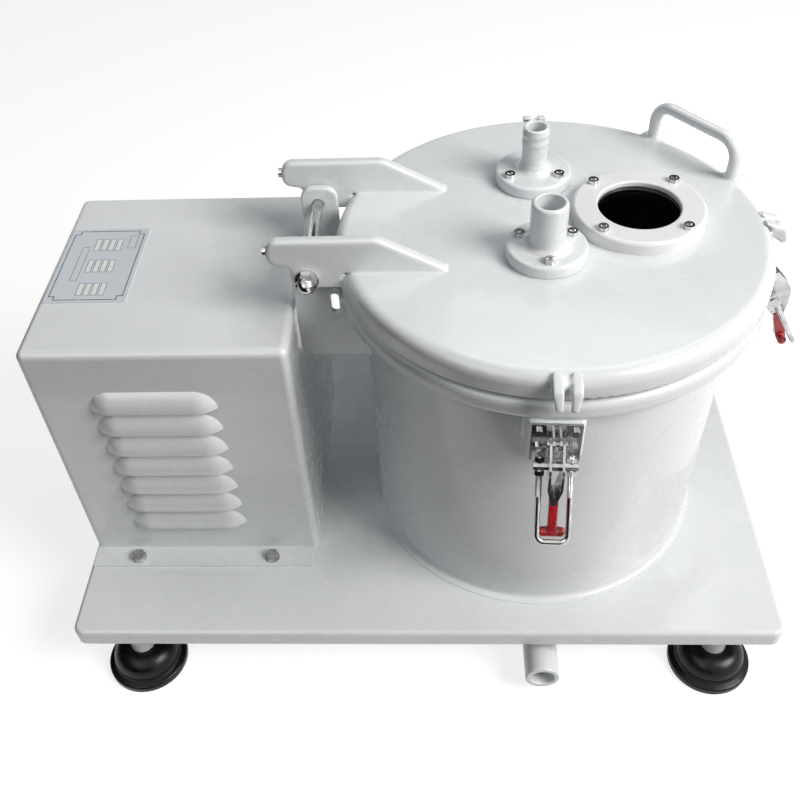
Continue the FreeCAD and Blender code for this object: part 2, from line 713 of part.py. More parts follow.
def make_hinge_ears():
    """Two plates on the casing wall that carry the pin."""
    ears = []
    outer = S.arm_offset - S.arm_thick / 2 - S.ear_gap
    middle = outer - S.ear_thick / 2
    left, right = HINGE_X - S.ear_left, HINGE_X + S.ear_right
    top = S.hinge_z + S.ear_above
    inside = S.drum_x - S.casing_radius * 0.9
    slot_x = right + S.ear_slot_beside
    for name, way in (("front", -1), ("back", 1)):
        outline = [
            (left, S.ear_foot, S.ear_corner),
            (inside, S.ear_foot),
            (inside, FLANGE_TOP),
            (right, FLANGE_TOP),
            (right, top, S.ear_corner),
            (left, top, S.ear_corner),
        ]
        plate = slab("ear_plate_" + name, outline, S.ear_thick, "XZ_Plane", middle=True)
        half = S.ear_slot_width / 2 - 0.1
        low = FLANGE_TOP - S.ear_slot_below - S.ear_slot_length
        slot = [
            (slot_x - S.ear_slot_width / 2, low, half),
            (slot_x + S.ear_slot_width / 2, low, half),
            (slot_x + S.ear_slot_width / 2, low + S.ear_slot_length, half),
            (slot_x - S.ear_slot_width / 2, low + S.ear_slot_length, half),
        ]
        pocket(plate, "ear_slot_" + name, "XZ_Plane", points=slot)
        hole = [(HINGE_X, S.hinge_z)]
        fit = S.pin_radius + S.running_clearance
        pocket(plate, "ear_hole_" + name, "XZ_Plane", spots=hole, radius=fit)
        place(plate, (0, S.hinge_y + way * middle, 0))
        wall = rod("ear_wall_" + name, S.casing_radius, FLANGE_TOP + 10, DRUM)
        flange = rod(
            "ear_flange_" + name, FLANGE_RADIUS, S.flange_height + 10, (S.drum_x, 0, FLANGE_BOTTOM)
        )
        ears.append(cut("ear_" + name, plate, wall, flange))
    node("hinge_ears", group("hinge_ears", ears))


def make_hinge_pin():
    reach = S.arm_offset + S.arm_thick / 2
    tip = S.pin_washer_thick + S.pin_nut_thick
    length = 2 * (reach + tip)
    start = (HINGE_X, S.hinge_y - length / 2, S.hinge_z)
    node("hinge_pin", rod("hinge_pin", S.pin_radius, length, start, "Y"))
    nuts = []
    for name, way, along in (("front", -1, "-Y"), ("back", 1, "Y")):
        face = S.hinge_y + way * reach
        out = face + way * S.pin_washer_thick
        end = out + way * S.pin_nut_thick
        seat = (HINGE_X, face, S.hinge_z)
        washer = rod("washer_" + name, S.pin_washer_radius, S.pin_washer_thick, seat, along)
        nut_at = (HINGE_X, out, S.hinge_z)
        hexagon = prism("hexagon_" + name, S.pin_nut_flats, S.pin_nut_thick, nut_at, along)
        dome = ball("dome_" + name, S.pin_dome_radius, (HINGE_X, end, S.hinge_z))
        hollow = rod("nut_hole_" + name, S.pin_radius, length, start, "Y")
        nuts.append(cut("nut_" + name, join("nut_blank_" + name, washer, hexagon, dome), hollow))
    node("hinge_nuts", group("hinge_nuts", nuts))


def make_lid_arms(lid):
    """Two plates welded on the lid, with tails behind the pin that stop the lid when open."""
    arms, screws = [], []
    tail = HINGE_X - S.arm_tail
    toe = HINGE_X + S.arm_toe
    stop_z = S.arm_top - S.stop_screw_drop
    boss = S.hinge_z - S.arm_drop
    boss_x = HINGE_X - S.arm_boss_back
    root_x = HINGE_X + S.arm_root
    tail_z = S.arm_top - S.arm_tail_drop
    for name, way in (("front", -1), ("back", 1)):
        outline = [
            (tail, S.arm_top, 12),
            (tail, tail_z, 10),
            (boss_x, tail_z - 3, 6),
            (boss_x, boss, 10),
            (root_x, boss),
            (root_x, LID_TOP - 4),
            (toe, LID_TOP - 4),
            (toe, LID_TOP + 2),
            (HINGE_X + S.arm_peak, S.arm_top, 24),
        ]
        plate = slab("arm_plate_" + name, outline, S.arm_thick, "XZ_Plane", middle=True)
        outer_edges = lambda e: e.BoundBox.YLength < 0.01 and e.BoundBox.ZMax > LID_TOP.value + 3
        round_edges(plate, "arm_edges_" + name, S.arm_round, outer_edges)
        hole = [(HINGE_X, S.hinge_z)]
        pocket(plate, "arm_hole_" + name, "XZ_Plane", spots=hole, radius=S.pin_radius)
        y = hinge_side(way)
        place(plate, (0, y, 0))
        at = (tail, y, stop_z)
        drill = rod("stop_drill_" + name, S.stop_screw_radius, S.stop_screw_length, at, "X")
        arms.append(cut("arm_" + name, plate, drill, lid))
        head = rod("stop_head_" + name, S.stop_screw_head, S.stop_screw_proud, at, "-X")
        shank = rod("stop_shank_" + name, S.stop_screw_radius, S.stop_screw_length, at, "X")
        screws.append(join("stop_screw_" + name, head, shank))
    node("lid_arms", group("lid_arms", arms))
    node("stop_screws", group("stop_screws", screws))


# ---------------------------------------------------------------- lid and what is on it


def make_lid_plate():
    inner = FLANGE_RADIUS - S.lid_rim
    under = S.lid_height - S.lid_skin
    body = turned(
        "lid_plate",
        [
            (inner, 0),
            (FLANGE_RADIUS, 0, 3),
            (FLANGE_RADIUS, S.lid_height, S.lid_round),
            (0, S.lid_height),
            (0, under),
            (inner, under),
        ],
    )
    place(body, (S.drum_x, 0, LID_BASE))
    bores = [(FEED_AT, S.feed_bore), (WASH_AT, S.wash_bore), (SIGHT_AT, S.sight_hole)]
    for number, (at, radius) in enumerate(bores, 1):
        spot = (at[0] - S.drum_x, at[1])
        pocket(body, f"lid_bore_{number}", "XY_Plane", spots=[spot], radius=radius)
    spots = [(x - S.drum_x, y) for x, y in NOZZLE_SCREWS + SIGHT_SCREWS]
    pocket(body, "lid_screw_holes", "XY_Plane", spots=spots, radius=S.cap_shank_radius)
    return node("lid_plate", body)


def prong_side_outline():
    """A prong seen from its side: rooted on the lid's rim, it hooks outward and down."""
    rim = FLANGE_RADIUS
    tip, low = rim + S.prong_reach, LID_TOP - S.prong_drop
    return [
        (rim - S.prong_root, LID_TOP - S.prong_back_drop),
        (rim + S.prong_root / 2, LID_TOP - S.prong_back_drop, 3),
        (tip - S.prong_tip_thick, low, 1.5),
        (tip, low + S.prong_tip_thick / 2, 2),
        (tip - S.prong_tip_thick / 2, LID_TOP - S.prong_back_drop + 1, 6),
        (rim + S.prong_shoulder, LID_TOP - S.prong_rise * 2, 7),
        (rim - S.prong_root, LID_TOP + S.prong_rise),
    ]


def prong_front_outline():
    """A prong seen from outside: broad at its root, narrow at its tip."""
    near, far = S.prong_gap / 2, S.prong_gap / 2 + S.prong_width
    tip_near = S.prong_tip_gap / 2
    tip_far = tip_near + S.prong_tip_width
    top, bend = LID_TOP + S.prong_rise * 2, LID_TOP - S.prong_back_drop / 2
    low = LID_TOP - S.prong_drop - 1
    return [(near, low), (near, top), (far, top), (far, bend, 6), (tip_far, low), (tip_near, low)]


def make_lid_forks(lid):
    """Three pairs of prongs over the lid's edge, which the latches' U bolts hook behind."""
    prongs = []
    width = (S.prong_gap + S.prong_width) * 2
    for side, angle in FORKS.items():
        for number, way in enumerate((-1, 1), 1):
            name = f"prong_{side}_{number}"
            blade = slab(name + "_blade", prong_side_outline(), width, "XZ_Plane", middle=True)
            corners = [(way * across, *rest) for across, *rest in prong_front_outline()]
            face = slab(name + "_face", corners, S.prong_root + S.prong_reach, "YZ_Plane")
            place(face, (FLANGE_RADIUS - S.prong_root, 0, 0))
            blank = place(common(name + "_blank", blade, face), DRUM, turn=angle)
            prongs.append(cut(name, blank, lid))
    node("lid_forks", group("lid_forks", prongs))


def make_lid_handle(lid):
    body = DOC.addObject("PartDesign::Body", "handle_bar")
    half = S.handle_width / 2
    height = S.handle_rise + S.handle_sink
    path = sketch(body, "handle_path", "YZ_Plane")
    run = [(-half, 0), (-half, height, S.handle_bend), (half, height, S.handle_bend), (half, 0)]
    draw(path, run, closed=False)
    ring = sketch(body, "handle_section", "XY_Plane")
    circles(ring, [(0, -half)], S.handle_rod)
    pipe = body.newObject("PartDesign::AdditivePipe", "handle_sweep")
    pipe.Profile = ring
    pipe.Spine = path
    x, y = around(DRUM, FLANGE_RADIUS - S.handle_inset, S.handle_angle)
    place(body, (x, y, LID_TOP - S.handle_sink), turn=S.handle_angle)
    node("lid_handle", cut("lid_handle", body, lid))


def make_nozzles():
    flange, thick = S.nozzle_flange_radius, S.nozzle_flange_thick
    heads_inside = S.nozzle_screw_circle - S.cap_head_radius - S.cap_head_clearance
    feed = turned(
        "feed_nozzle",
        [
            (S.feed_bore, 0),
            (flange, 0),
            (flange, thick, S.nozzle_flange_round),
            (S.feed_radius, thick, heads_inside - S.feed_radius),
            (S.feed_radius, S.feed_height, S.feed_rim_round),
            (S.feed_bore, S.feed_height),
        ],
    )
    place(feed, FEED_AT)
    spots = [around(CENTRE, S.nozzle_screw_circle, a) for a in FEED_SCREW_ANGLES]
    pocket(feed, "feed_screw_holes", "XY_Plane", spots=spots, radius=S.cap_shank_radius)
    node("feed_nozzle", feed)
    tube = S.wash_radius - S.barb_rise
    top = S.wash_height
    barbs = []
    for number in range(2):
        high = top - S.barb_top - number * S.barb_pitch
        low = high - S.barb_length
        barbs = [
            (tube, low),
            (S.wash_radius, low + 1),
            (S.wash_radius, low + S.barb_length / 2),
            (tube, high),
        ] + barbs
    wash = turned(
        "wash_nozzle",
        [
            (S.wash_bore, 0),
            (flange, 0),
            (flange, thick, S.nozzle_flange_round),
            (tube, thick, heads_inside - tube),
            *barbs,
            (tube, top),
            (S.wash_bore, top),
        ],
    )
    place(wash, WASH_AT)
    spots = [around(CENTRE, S.nozzle_screw_circle, a) for a in WASH_SCREW_ANGLES]
    pocket(wash, "wash_screw_holes", "XY_Plane", spots=spots, radius=S.cap_shank_radius)
    node("wash_nozzle", wash)
    seat = LID_TOP + thick
    grip = thick + S.lid_skin
    return [cap_screw(f"nozzle_screw_{i}", *at, seat, grip) for i, at in enumerate(NOZZLE_SCREWS)]


def make_sight_glass():
    recess = S.glass_thick + S.glass_gasket
    clear = S.glass_radius + S.glass_clearance
    ring = turned(
        "sight_ring",
        [
            (clear, 0),
            (S.sight_radius, 0),
            (S.sight_radius, S.sight_height, 4),
            (S.sight_hole, S.sight_height, 2),
            (S.sight_hole, recess + 0.1),
            (clear, recess + 0.1),
        ],
    )
    place(ring, SIGHT_AT)
    local = [(x - SIGHT_AT[0], y - SIGHT_AT[1]) for x, y in SIGHT_SCREWS]
    pocket(ring, "sight_screw_holes", "XY_Plane", spots=local, radius=S.cap_shank_radius)
    node("sight_ring", ring)
    gasket = turned(
        "sight_gasket",
        [
            (S.sight_hole, 0),
            (S.glass_radius, 0),
            (S.glass_radius, S.glass_gasket),
            (S.sight_hole, S.glass_gasket),
        ],
    )
    node("sight_gasket", place(gasket, SIGHT_AT))
    on_gasket = (SIGHT_AT[0], SIGHT_AT[1], LID_TOP + S.glass_gasket)
    node("sight_glass", rod("sight_glass", S.glass_radius, S.glass_thick, on_gasket))
    seat = LID_TOP + S.sight_height
    grip = S.sight_height + S.lid_skin
    return [cap_screw(f"sight_screw_{i}", *at, seat, grip) for i, at in enumerate(SIGHT_SCREWS)]


# ---------------------------------------------------------------- toggle latches
# Each latch is drawn outward from the drum's axis, along X, and then turned to its side.


def latch_screw_rods(name, radius):
    start = PAD_FACE + S.latch_plate_thick - S.latch_screw_length
    return [
        rod(f"{name}_{number}", radius, S.latch_screw_length, (start, across, height), "X")
        for number, (across, height) in enumerate(latch_screw_spots())
    ]


def latch_screw_spots():
    return [
        (way * S.latch_screw_x, height)
        for height in (LATCH_PLATE_TOP - S.latch_screw_low, LATCH_PLATE_TOP - S.latch_screw_high)
        for way in (-1, 1)
    ]


def make_latch_fixed_parts():
    bases, screws, pins = [], [], []
    face = PAD_FACE + S.latch_plate_thick
    for side, angle in LATCHES.items():
        sheet = box(
            "latch_sheet_" + side,
            (S.latch_plate_thick, S.latch_plate_half * 2, S.latch_plate_height),
            (PAD_FACE, -S.latch_plate_half, LATCH_PLATE_TOP - S.latch_plate_height),
        )
        ears = []
        for number, way in enumerate((-1, 1), 1):
            name = f"latch_ear_{side}_{number}"
            near = S.latch_ear_offset if way > 0 else -S.latch_ear_offset - S.latch_ear_thick
            at = (PIVOT_R, near, PIVOT_Z)
            boss = rod(name + "_boss", S.latch_ear_radius, S.latch_ear_thick, at, "Y")
            web_at = (face - 0.5, near, PIVOT_Z - S.latch_ear_radius)
            spans = (PIVOT_R - face + 0.5, S.latch_ear_thick, S.latch_ear_radius * 2)
            ears += [boss, box(name + "_web", spans, web_at)]
        reach = S.lever_plate_offset + S.lever_plate_thick + S.latch_pin_spare
        pin_at = (PIVOT_R, -reach, PIVOT_Z)
        hole = rod("latch_pin_hole_" + side, S.latch_pin_radius, reach * 2, pin_at, "Y")
        holes = latch_screw_rods("latch_hole_" + side, S.latch_screw_shank)
        base = cut("latch_base_" + side, join("latch_blank_" + side, sheet, *ears), hole, *holes)
        bases.append(place(base, DRUM, turn=angle))
        shank = rod("latch_pin_shank_" + side, S.latch_pin_radius, reach * 2, pin_at, "Y")
        heads = [
            rod(f"latch_pin_head_{side}_{way}", S.latch_pin_head, S.latch_pin_head_thick, at, along)
            for way, along, at in (
                ("left", "-Y", pin_at),
                ("right", "Y", (PIVOT_R, reach, PIVOT_Z)),
            )
        ]
        pins.append(place(join("latch_pin_" + side, shank, *heads), DRUM, turn=angle))
        shafts = latch_screw_rods("latch_shank_" + side, S.latch_screw_shank)
        for number, (shaft, spot) in enumerate(zip(shafts, latch_screw_spots())):
            tag = f"{side}_{number}"
            at = (face, *spot)
            head = rod("latch_head_" + tag, S.latch_screw_head, S.latch_screw_head_height, at, "X")
            screw = join("latch_screw_" + tag, shaft, head)
            screws.append(place(screw, DRUM, turn=angle))
    node("latch_bases", group("latch_bases", bases))
    node("latch_screws", group("latch_screws", screws))
    node("latch_pivot_pins", group("latch_pivot_pins", pins))


def lever_side_outline():
    """The lever seen from its side: a rounded head at the pivot, a broad bulge, a narrow end."""
    nose = S.lever_nose
    neck_in, neck_out = GRIP_R - 10, GRIP_R - 4
    return [
        (PIVOT_R - nose, PIVOT_Z + nose, nose * 0.9),
        (PIVOT_R + nose, PIVOT_Z + nose, nose * 0.9),
        (BAR_R + S.lever_bulge, BAR_Z + 8, 16),
        (BAR_R + S.lever_bulge + 1, BAR_Z - S.lever_bulge, 10),
        (neck_out, GRIP_Z + 24),
        (neck_in, GRIP_Z + 22),
        (BAR_R - 1, BAR_Z - S.lever_bulge, 12),
        (BAR_R - 7, BAR_Z, 6),
        (PIVOT_R - nose, PIVOT_Z - nose, 4),
    ]


def lever_front_outline():
    """The lever seen from outside: two side plates that close together towards the grip."""
    near = S.lever_plate_offset
    far = near + S.lever_plate_thick
    top, wide = PIVOT_Z + S.lever_nose * 2, BAR_Z - 12
    close, end = GRIP_Z + S.lever_close, GRIP_Z + S.lever_end
    slim = S.grip_stem_half - 1.2
    split = 0.6
    return [
        (-far, top),
        (-far, wide),
        (-slim, close),
        (-slim, end),
        (slim, end),
        (slim, close),
        (far, wide),
        (far, top),
        (near, top),
        (near, wide),
        (split, close + 4),
        (-split, close + 4),
        (-near, wide),
        (-near, top),
    ]


def make_lever(side, angle):
    broad, deep = S.latch_plate_half * 2, S.bolt_reach * 2
    profile = slab("lever_profile_" + side, lever_side_outline(), broad, "XZ_Plane", middle=True)
    front = slab("lever_front_" + side, lever_front_outline(), deep, "YZ_Plane", middle=True)
    place(front, (PIVOT_R, 0, 0))
    blank = common("lever_blank_" + side, profile, front)
    span = S.latch_plate_half * 2
    pivot_at = (PIVOT_R, -S.latch_plate_half, PIVOT_Z)
    bar_at = (BAR_R, -S.latch_plate_half, BAR_Z)
    pivot = rod("lever_pivot_" + side, S.latch_pin_radius + S.running_clearance, span, pivot_at, "Y")
    bar = rod("lever_bar_" + side, S.trunnion_radius + S.running_clearance, span, bar_at, "Y")
    lever = cut("latch_lever_" + side, blank, pivot, bar)
    node("latch_lever_" + side, place(lever, DRUM, turn=angle))
    # the grip: a dipped stem and a cross bar
    stem = slab(
        "grip_stem_" + side,
        [
            (-S.grip_stem_half - 1, 0, 2),
            (S.grip_stem_half + 1, 0, 2),
            (S.grip_stem_half + 1, S.grip_length, 2),
            (-S.grip_stem_half - 1, S.grip_length, 2),
        ],
        S.grip_stem_half * 2,
        "XZ_Plane",
        middle=True,
    )
    place(stem, (GRIP_R, 0, GRIP_Z), axis=(0, 1, 0), turn=-S.grip_lean)
    reach = S.grip_half - S.grip_radius
    at = (GRIP_R, -reach, GRIP_Z)
    cross = rod("grip_cross_" + side, S.grip_radius, reach * 2, at, "Y")
    ends = [
        ball(f"grip_end_{side}_{way}", S.grip_radius, (GRIP_R, way * reach, GRIP_Z))
        for way in (-1, 1)
    ]
    grip = cut("latch_grip_" + side, join("grip_blank_" + side, stem, cross, *ends), blank)
    node("latch_grip_" + side, place(grip, DRUM, turn=angle))


def make_u_bolt(side, angle):
    """A U bolt through a cross bar that turns in the lever, with its adjusting nuts."""
    half, rod_r = S.bolt_half_width, S.bolt_rod
    body = DOC.addObject("PartDesign::Body", "u_rod_" + side)
    path = sketch(body, "u_path_" + side, "YZ_Plane")
    full = S.bolt_reach + S.bolt_tail
    run = [(-half, 0), (-half, full, S.bolt_bend), (half, full, S.bolt_bend), (half, 0)]
    draw(path, run, closed=False)
    ring = sketch(body, "u_section_" + side, "XY_Plane")
    circles(ring, [(0, -half)], rod_r)
    pipe = body.newObject("PartDesign::AdditivePipe", "u_sweep_" + side)
    pipe.Profile = ring
    pipe.Spine = path
    place(body, (0, 0, -S.bolt_tail))
    bar_at = (0, -S.trunnion_length / 2, 0)
    bar = rod("u_bar_" + side, S.trunnion_radius, S.trunnion_length, bar_at, "Y")
    nuts = []
    for number, way in enumerate((-1, 1), 1):
        for place_name, low in (
            ("far", S.trunnion_radius - 0.4),
            ("near", -S.trunnion_radius - S.bolt_nut_thick + 0.4),
        ):
            tag = f"u_nut_{side}_{number}_{place_name}"
            nuts.append(prism(tag, S.bolt_nut_flats, S.bolt_nut_thick, (0, way * half, low)))
    whole = join("u_bolt_" + side, body, bar, *nuts)
    tilt = 180 - S.bolt_tilt
    place(whole, (BAR_R, 0, BAR_Z), axis=(0, 1, 0), turn=tilt)
    final = group("latch_u_bolt_" + side, [whole])
    node("latch_u_bolt_" + side, place(final, DRUM, turn=angle))


# ---------------------------------------------------------------- motor cover


def louvre_shape(name, number, shrink):
    """One bulged louvre: a long rounded dome, cut off below and behind."""
    rise, proud = S.louvre_rise, S.louvre_proud
    louvre_left = COVER_LEFT + S.louvre_inset
    radius = (proud * proud + rise * rise) / (2 * proud)
    y = S.cover_front + radius - proud
    z = S.plate_top + S.louvre_first + number * S.louvre_pitch
    left = louvre_left + rise
    straight = S.louvre_length - 2 * rise
    bar = rod(name + "_bar", radius - shrink, straight, (left, y, z), "X")
    spots = (left, left + straight)
    ends = [ball(f"{name}_end_{i}", radius - shrink, (x, y, z)) for i, x in enumerate(spots)]
    dome = join(name + "_dome", bar, *ends)
    spans = (S.louvre_length, proud + S.cover_wall, rise)
    window = box(name + "_window", spans, (louvre_left, S.cover_front - proud, z))
    return common(name, dome, window)


def make_cover():
    width, depth, height = COVER_WIDTH, S.cover_depth, S.cover_height
    outline = [(0, 0), (width, 0), (width, depth), (0, depth)]
    hood = slab("cover_hood", [(*p, S.cover_round) for p in outline], height)
    top = SIZES["cover_height"]
    round_edges(hood, "hood_edge", S.cover_round, lambda e: lies_at(e, top))
    wall = S.cover_wall
    place(hood, (COVER_LEFT, S.cover_front, S.plate_top))
    inner = [(wall, wall), (width - wall, wall), (width - wall, depth - wall), (wall, depth - wall)]
    hollow = slab("cover_hollow", [(*p, S.cover_round - wall) for p in inner], height - wall)
    top_inside = SIZES["cover_height"] - SIZES["cover_wall"]
    round_edges(hollow, "hollow_edge", S.cover_round - wall, lambda e: lies_at(e, top_inside))
    place(hollow, (COVER_LEFT, S.cover_front, S.plate_top))
    count = SIZES["louvre_count"]
    skins = [louvre_shape(f"louvre_{i}", i, 0) for i in range(count)]
    voids = [louvre_shape(f"louvre_void_{i}", i, S.cover_wall * 0.8) for i in range(count)]
    inset = S.cover_flange_inset
    flanges = []
    for name, y in (
        ("front", S.cover_front - S.cover_flange_depth),
        ("back", COVER_BACK - S.cover_round),
    ):
        spans = (width - inset * 4, S.cover_flange_depth + S.cover_round, S.cover_flange_thick)
        flanges.append(box("cover_flange_" + name, spans, (COVER_LEFT + inset, y, S.plate_top)))
    shell = join("cover_blank", hood, *skins, *flanges)
    bolt_hole = S.plate_bolt_radius + S.running_clearance
    holes = [
        rod(f"cover_bolt_hole_{i}", bolt_hole, S.cover_flange_thick, (*at, S.plate_top))
        for i, at in enumerate(COVER_BOLTS)
    ]
    gland_at = (COVER_LEFT, S.gland_y, S.gland_z)
    gland_hole = rod("gland_hole", S.gland_radius, wall, gland_at, "X")
    node("motor_cover", cut("motor_cover", shell, hollow, *voids, *holes, gland_hole))
    seat = S.plate_top + S.cover_flange_thick
    bolts = [
        hex_bolt(f"cover_bolt_{i}", *at, seat, S.plate_bolt_length)
        for i, at in enumerate(COVER_BOLTS)
    ]
    node("cover_bolts", group("cover_bolts", bolts))


def make_badge_and_gland():
    badge_at = (COVER_LEFT + S.badge_inset, S.badge_front, COVER_TOP)
    badge = box("nameplate", (S.badge_width, S.badge_length, S.badge_thick), badge_at)
    node("nameplate", badge)
    at = (COVER_LEFT, S.gland_y, S.gland_z)
    body = prism("gland_body", S.gland_flats, S.gland_nut, at, "-X")
    dome_at = (COVER_LEFT - S.gland_nut, S.gland_y, S.gland_z)
    dome = rod("gland_dome", S.gland_radius - 1, S.gland_dome, dome_at, "-X")
    thread = rod("gland_thread", S.gland_radius, S.cover_wall, at, "X")
    lock_at = (COVER_LEFT + S.cover_wall, S.gland_y, S.gland_z)
    lock = prism("gland_lock", S.gland_flats, S.gland_lock_nut, lock_at, "X")
    outside = S.gland_nut + S.gland_dome
    start = (COVER_LEFT - outside, S.gland_y, S.gland_z)
    length = outside + S.cover_wall + S.gland_lock_nut
    through = rod("gland_through", S.gland_bore, length, start, "X")
    node("cable_gland", cut("cable_gland", join("gland_blank", body, dome, thread, lock), through))


# ---------------------------------------------------------------- motor


def make_motor_plate():
    plate_x, plate_y = S.mount_plate_width / 2, S.mount_plate_depth / 2
    outline = [(-plate_x, -plate_y), (plate_x, -plate_y), (plate_x, plate_y), (-plate_x, plate_y)]
    outline = [(*p, S.mount_plate_round) for p in outline]
    plate = slab("motor_mount_plate", outline, S.mount_plate_thick)
    place(plate, (MOTOR_X, 0, S.plate_top))
    pocket(plate, "mount_shaft_hole", "XY_Plane", spots=[(0, 0)], radius=S.motor_shaft_hole)
    fit = S.plate_bolt_radius + S.running_clearance
    half = S.mount_slot_length / 2
    for number, (x, y) in enumerate(SLOT_BOLTS):
        cx = x - MOTOR_X
        slot = [
            (cx - half, y - fit, fit * 0.95),
            (cx + half, y - fit, fit * 0.95),
            (cx + half, y + fit, fit * 0.95),
            (cx - half, y + fit, fit * 0.95),
        ]
        pocket(plate, f"mount_slot_{number}", "XY_Plane", points=slot)
    local = [(x - MOTOR_X, y) for x, y in MOTOR_BOLTS]
    pocket(plate, "mount_bolt_holes", "XY_Plane", spots=local, radius=S.plate_bolt_radius)
    node("motor_mount_plate", plate)


def make_motor():
    axis = (MOTOR_X, 0, MOTOR_FLANGE_BOTTOM)
    flange = rod("motor_flange", S.motor_flange_radius, S.motor_flange_thick, axis)
    barrel_height = S.motor_flange_thick + S.motor_body
    barrel = rod("motor_barrel", S.motor_radius, barrel_height, axis)
    fins = []
    reach = S.motor_radius + S.motor_fin_height
    for number in range(SIZES["motor_fins"]):
        outline = [
            (S.motor_radius - 4, -S.motor_fin_thick / 2),
            (reach, -S.motor_fin_thick / 2),
            (reach, S.motor_fin_thick / 2),
            (S.motor_radius - 4, S.motor_fin_thick / 2),
        ]
        fin = slab(f"motor_fin_{number}", outline, S.motor_body - 2 * S.motor_fin_margin)
        turn = 360 * number / SIZES["motor_fins"]
        at = (MOTOR_X, 0, MOTOR_BODY_BOTTOM + S.motor_fin_margin)
        fins.append(place(fin, at, turn=turn))
    bore = rod("motor_bore", S.shaft_radius + S.running_clearance, barrel_height, axis)
    tails = [
        rod(f"motor_bolt_hole_{i}", S.plate_bolt_radius, S.motor_flange_thick, (x, y, MOTOR_FLANGE_BOTTOM))
        for i, (x, y) in enumerate(MOTOR_BOLTS)
    ]
    # the end shield above the fins, which the fan cover stands on
    shield_at = (MOTOR_X, 0, MOTOR_BODY_TOP - S.motor_fin_margin)
    shield = rod("motor_shield", reach, S.motor_fin_margin, shield_at)
    blank = join("motor_blank", flange, barrel, shield, *fins)
    frame = cut("motor_frame", blank, bore, *tails)
    node("motor_frame", frame)
    box_at = (
        MOTOR_X - S.terminal_length / 2,
        S.motor_radius + S.motor_fin_height,
        MOTOR_BODY_TOP - S.terminal_height - S.terminal_below,
    )
    spans = (S.terminal_length, S.terminal_depth, S.terminal_height)
    node("motor_terminal_box", box("motor_terminal_box", spans, box_at))


def make_drive_bolts():
    """The hexagon bolts of the motor, its mounting plate and the bearing housing."""
    seat = S.plate_top + S.mount_plate_thick
    bolts = [
        hex_bolt(f"slot_bolt_{i}", *at, seat, S.plate_bolt_length)
        for i, at in enumerate(SLOT_BOLTS)
    ]
    grip = S.motor_flange_thick + S.mount_plate_thick
    bolts += [
        hex_bolt(f"flange_bolt_{i}", *at, MOTOR_BODY_BOTTOM, grip, washer=False)
        for i, at in enumerate(MOTOR_BOLTS)
    ]
    under = PLATE_UNDER - S.housing_flange_thick
    grip = S.housing_flange_thick + S.plate_thick + S.casing_floor_thick
    bolts += [
        hex_bolt(f"housing_bolt_{i}", *at, under, grip, washer=False, along="-Z")
        for i, at in enumerate(HOUSING_BOLTS)
    ]
    node("drive_bolts", group("drive_bolts", bolts))


def make_motor_fan():
    outer = S.motor_radius + S.motor_fin_height
    wall = S.fan_cover_wall
    height = S.fan_cover_height
    cowl = turned(
        "fan_cover",
        [
            (outer - wall, 0),
            (outer, 0),
            (outer, height, 10),
            (0, height),
            (0, height - wall),
            (outer - wall, height - wall, 9),
        ],
    )
    rings = (outer * 0.35, outer * 0.62)
    spots = [around(CENTRE, ring, angle) for ring in rings for angle in range(0, 360, 45)]
    pocket(cowl, "fan_cover_grille", "XY_Plane", spots=spots, radius=S.grille_hole)
    node("motor_fan_cover", place(cowl, (MOTOR_X, 0, MOTOR_BODY_TOP)))
    low = MOTOR_BODY_TOP + S.fan_gap
    hub = rod("fan_hub", S.fan_hub_radius, S.fan_blade_height, (MOTOR_X, 0, low))
    disc = rod("fan_disc", S.fan_radius, S.fan_plate, (MOTOR_X, 0, low))
    blades = []
    half = S.fan_plate / 2
    for number in range(SIZES["fan_blades"]):
        outline = [
            (S.fan_hub_radius - 2, -half),
            (S.fan_radius, -half),
            (S.fan_radius, half),
            (S.fan_hub_radius - 2, half),
        ]
        blade = slab(f"fan_blade_{number}", outline, S.fan_blade_height)
        turn = 360 * number / SIZES["fan_blades"]
        blades.append(place(blade, (MOTOR_X, 0, low), turn=turn))
    bore = rod("fan_bore", S.shaft_radius, S.fan_blade_height, (MOTOR_X, 0, low))
    node("motor_fan", cut("motor_fan", join("fan_blank", hub, disc, *blades), bore))
    bottom = S.pulley_bottom - S.shaft_end
    length = low + S.fan_blade_height + S.shaft_end - bottom
    node("motor_shaft", rod("motor_shaft", S.shaft_radius, length, (MOTOR_X, 0, bottom)))


# ---------------------------------------------------------------- belt drive


def pulley(name, radius, bore):
    """A flat-faced pulley between two rims, with a hub above."""
    rim = radius + S.pulley_rim
    low = S.rim_thick
    high = low + S.belt_width + 2 * S.belt_side_gap
    top = high + S.rim_thick
    return turned(
        name,
        [
            (bore, 0),
            (rim, 0),
            (rim, low),
            (radius, low),
            (radius, high),
            (rim, high),
            (rim, top),
            (S.pulley_hub_radius, top),
            (S.pulley_hub_radius, top + S.pulley_hub_height),
            (bore, top + S.pulley_hub_height),
        ],
    )


def belt_loop(name, extra, low, height):
    """The space inside a belt: a circle round each pulley and the straight runs between."""
    small = S.motor_pulley_radius + extra
    large = S.spindle_pulley_radius + extra
    span = S.drum_x - MOTOR_X
    slope = (large - small) / span
    level = root(1 - slope * slope)
    runs = [
        (MOTOR_X - small * slope, -small * level),
        (S.drum_x - large * slope, -large * level),
        (S.drum_x - large * slope, large * level),
        (MOTOR_X - small * slope, small * level),
    ]
    middle = place(slab(name + "_runs", runs, height), (0, 0, low))
    near = rod(name + "_small", small, height, (MOTOR_X, 0, low))
    far = rod(name + "_large", large, height, (S.drum_x, 0, low))
    return join(name, middle, near, far)


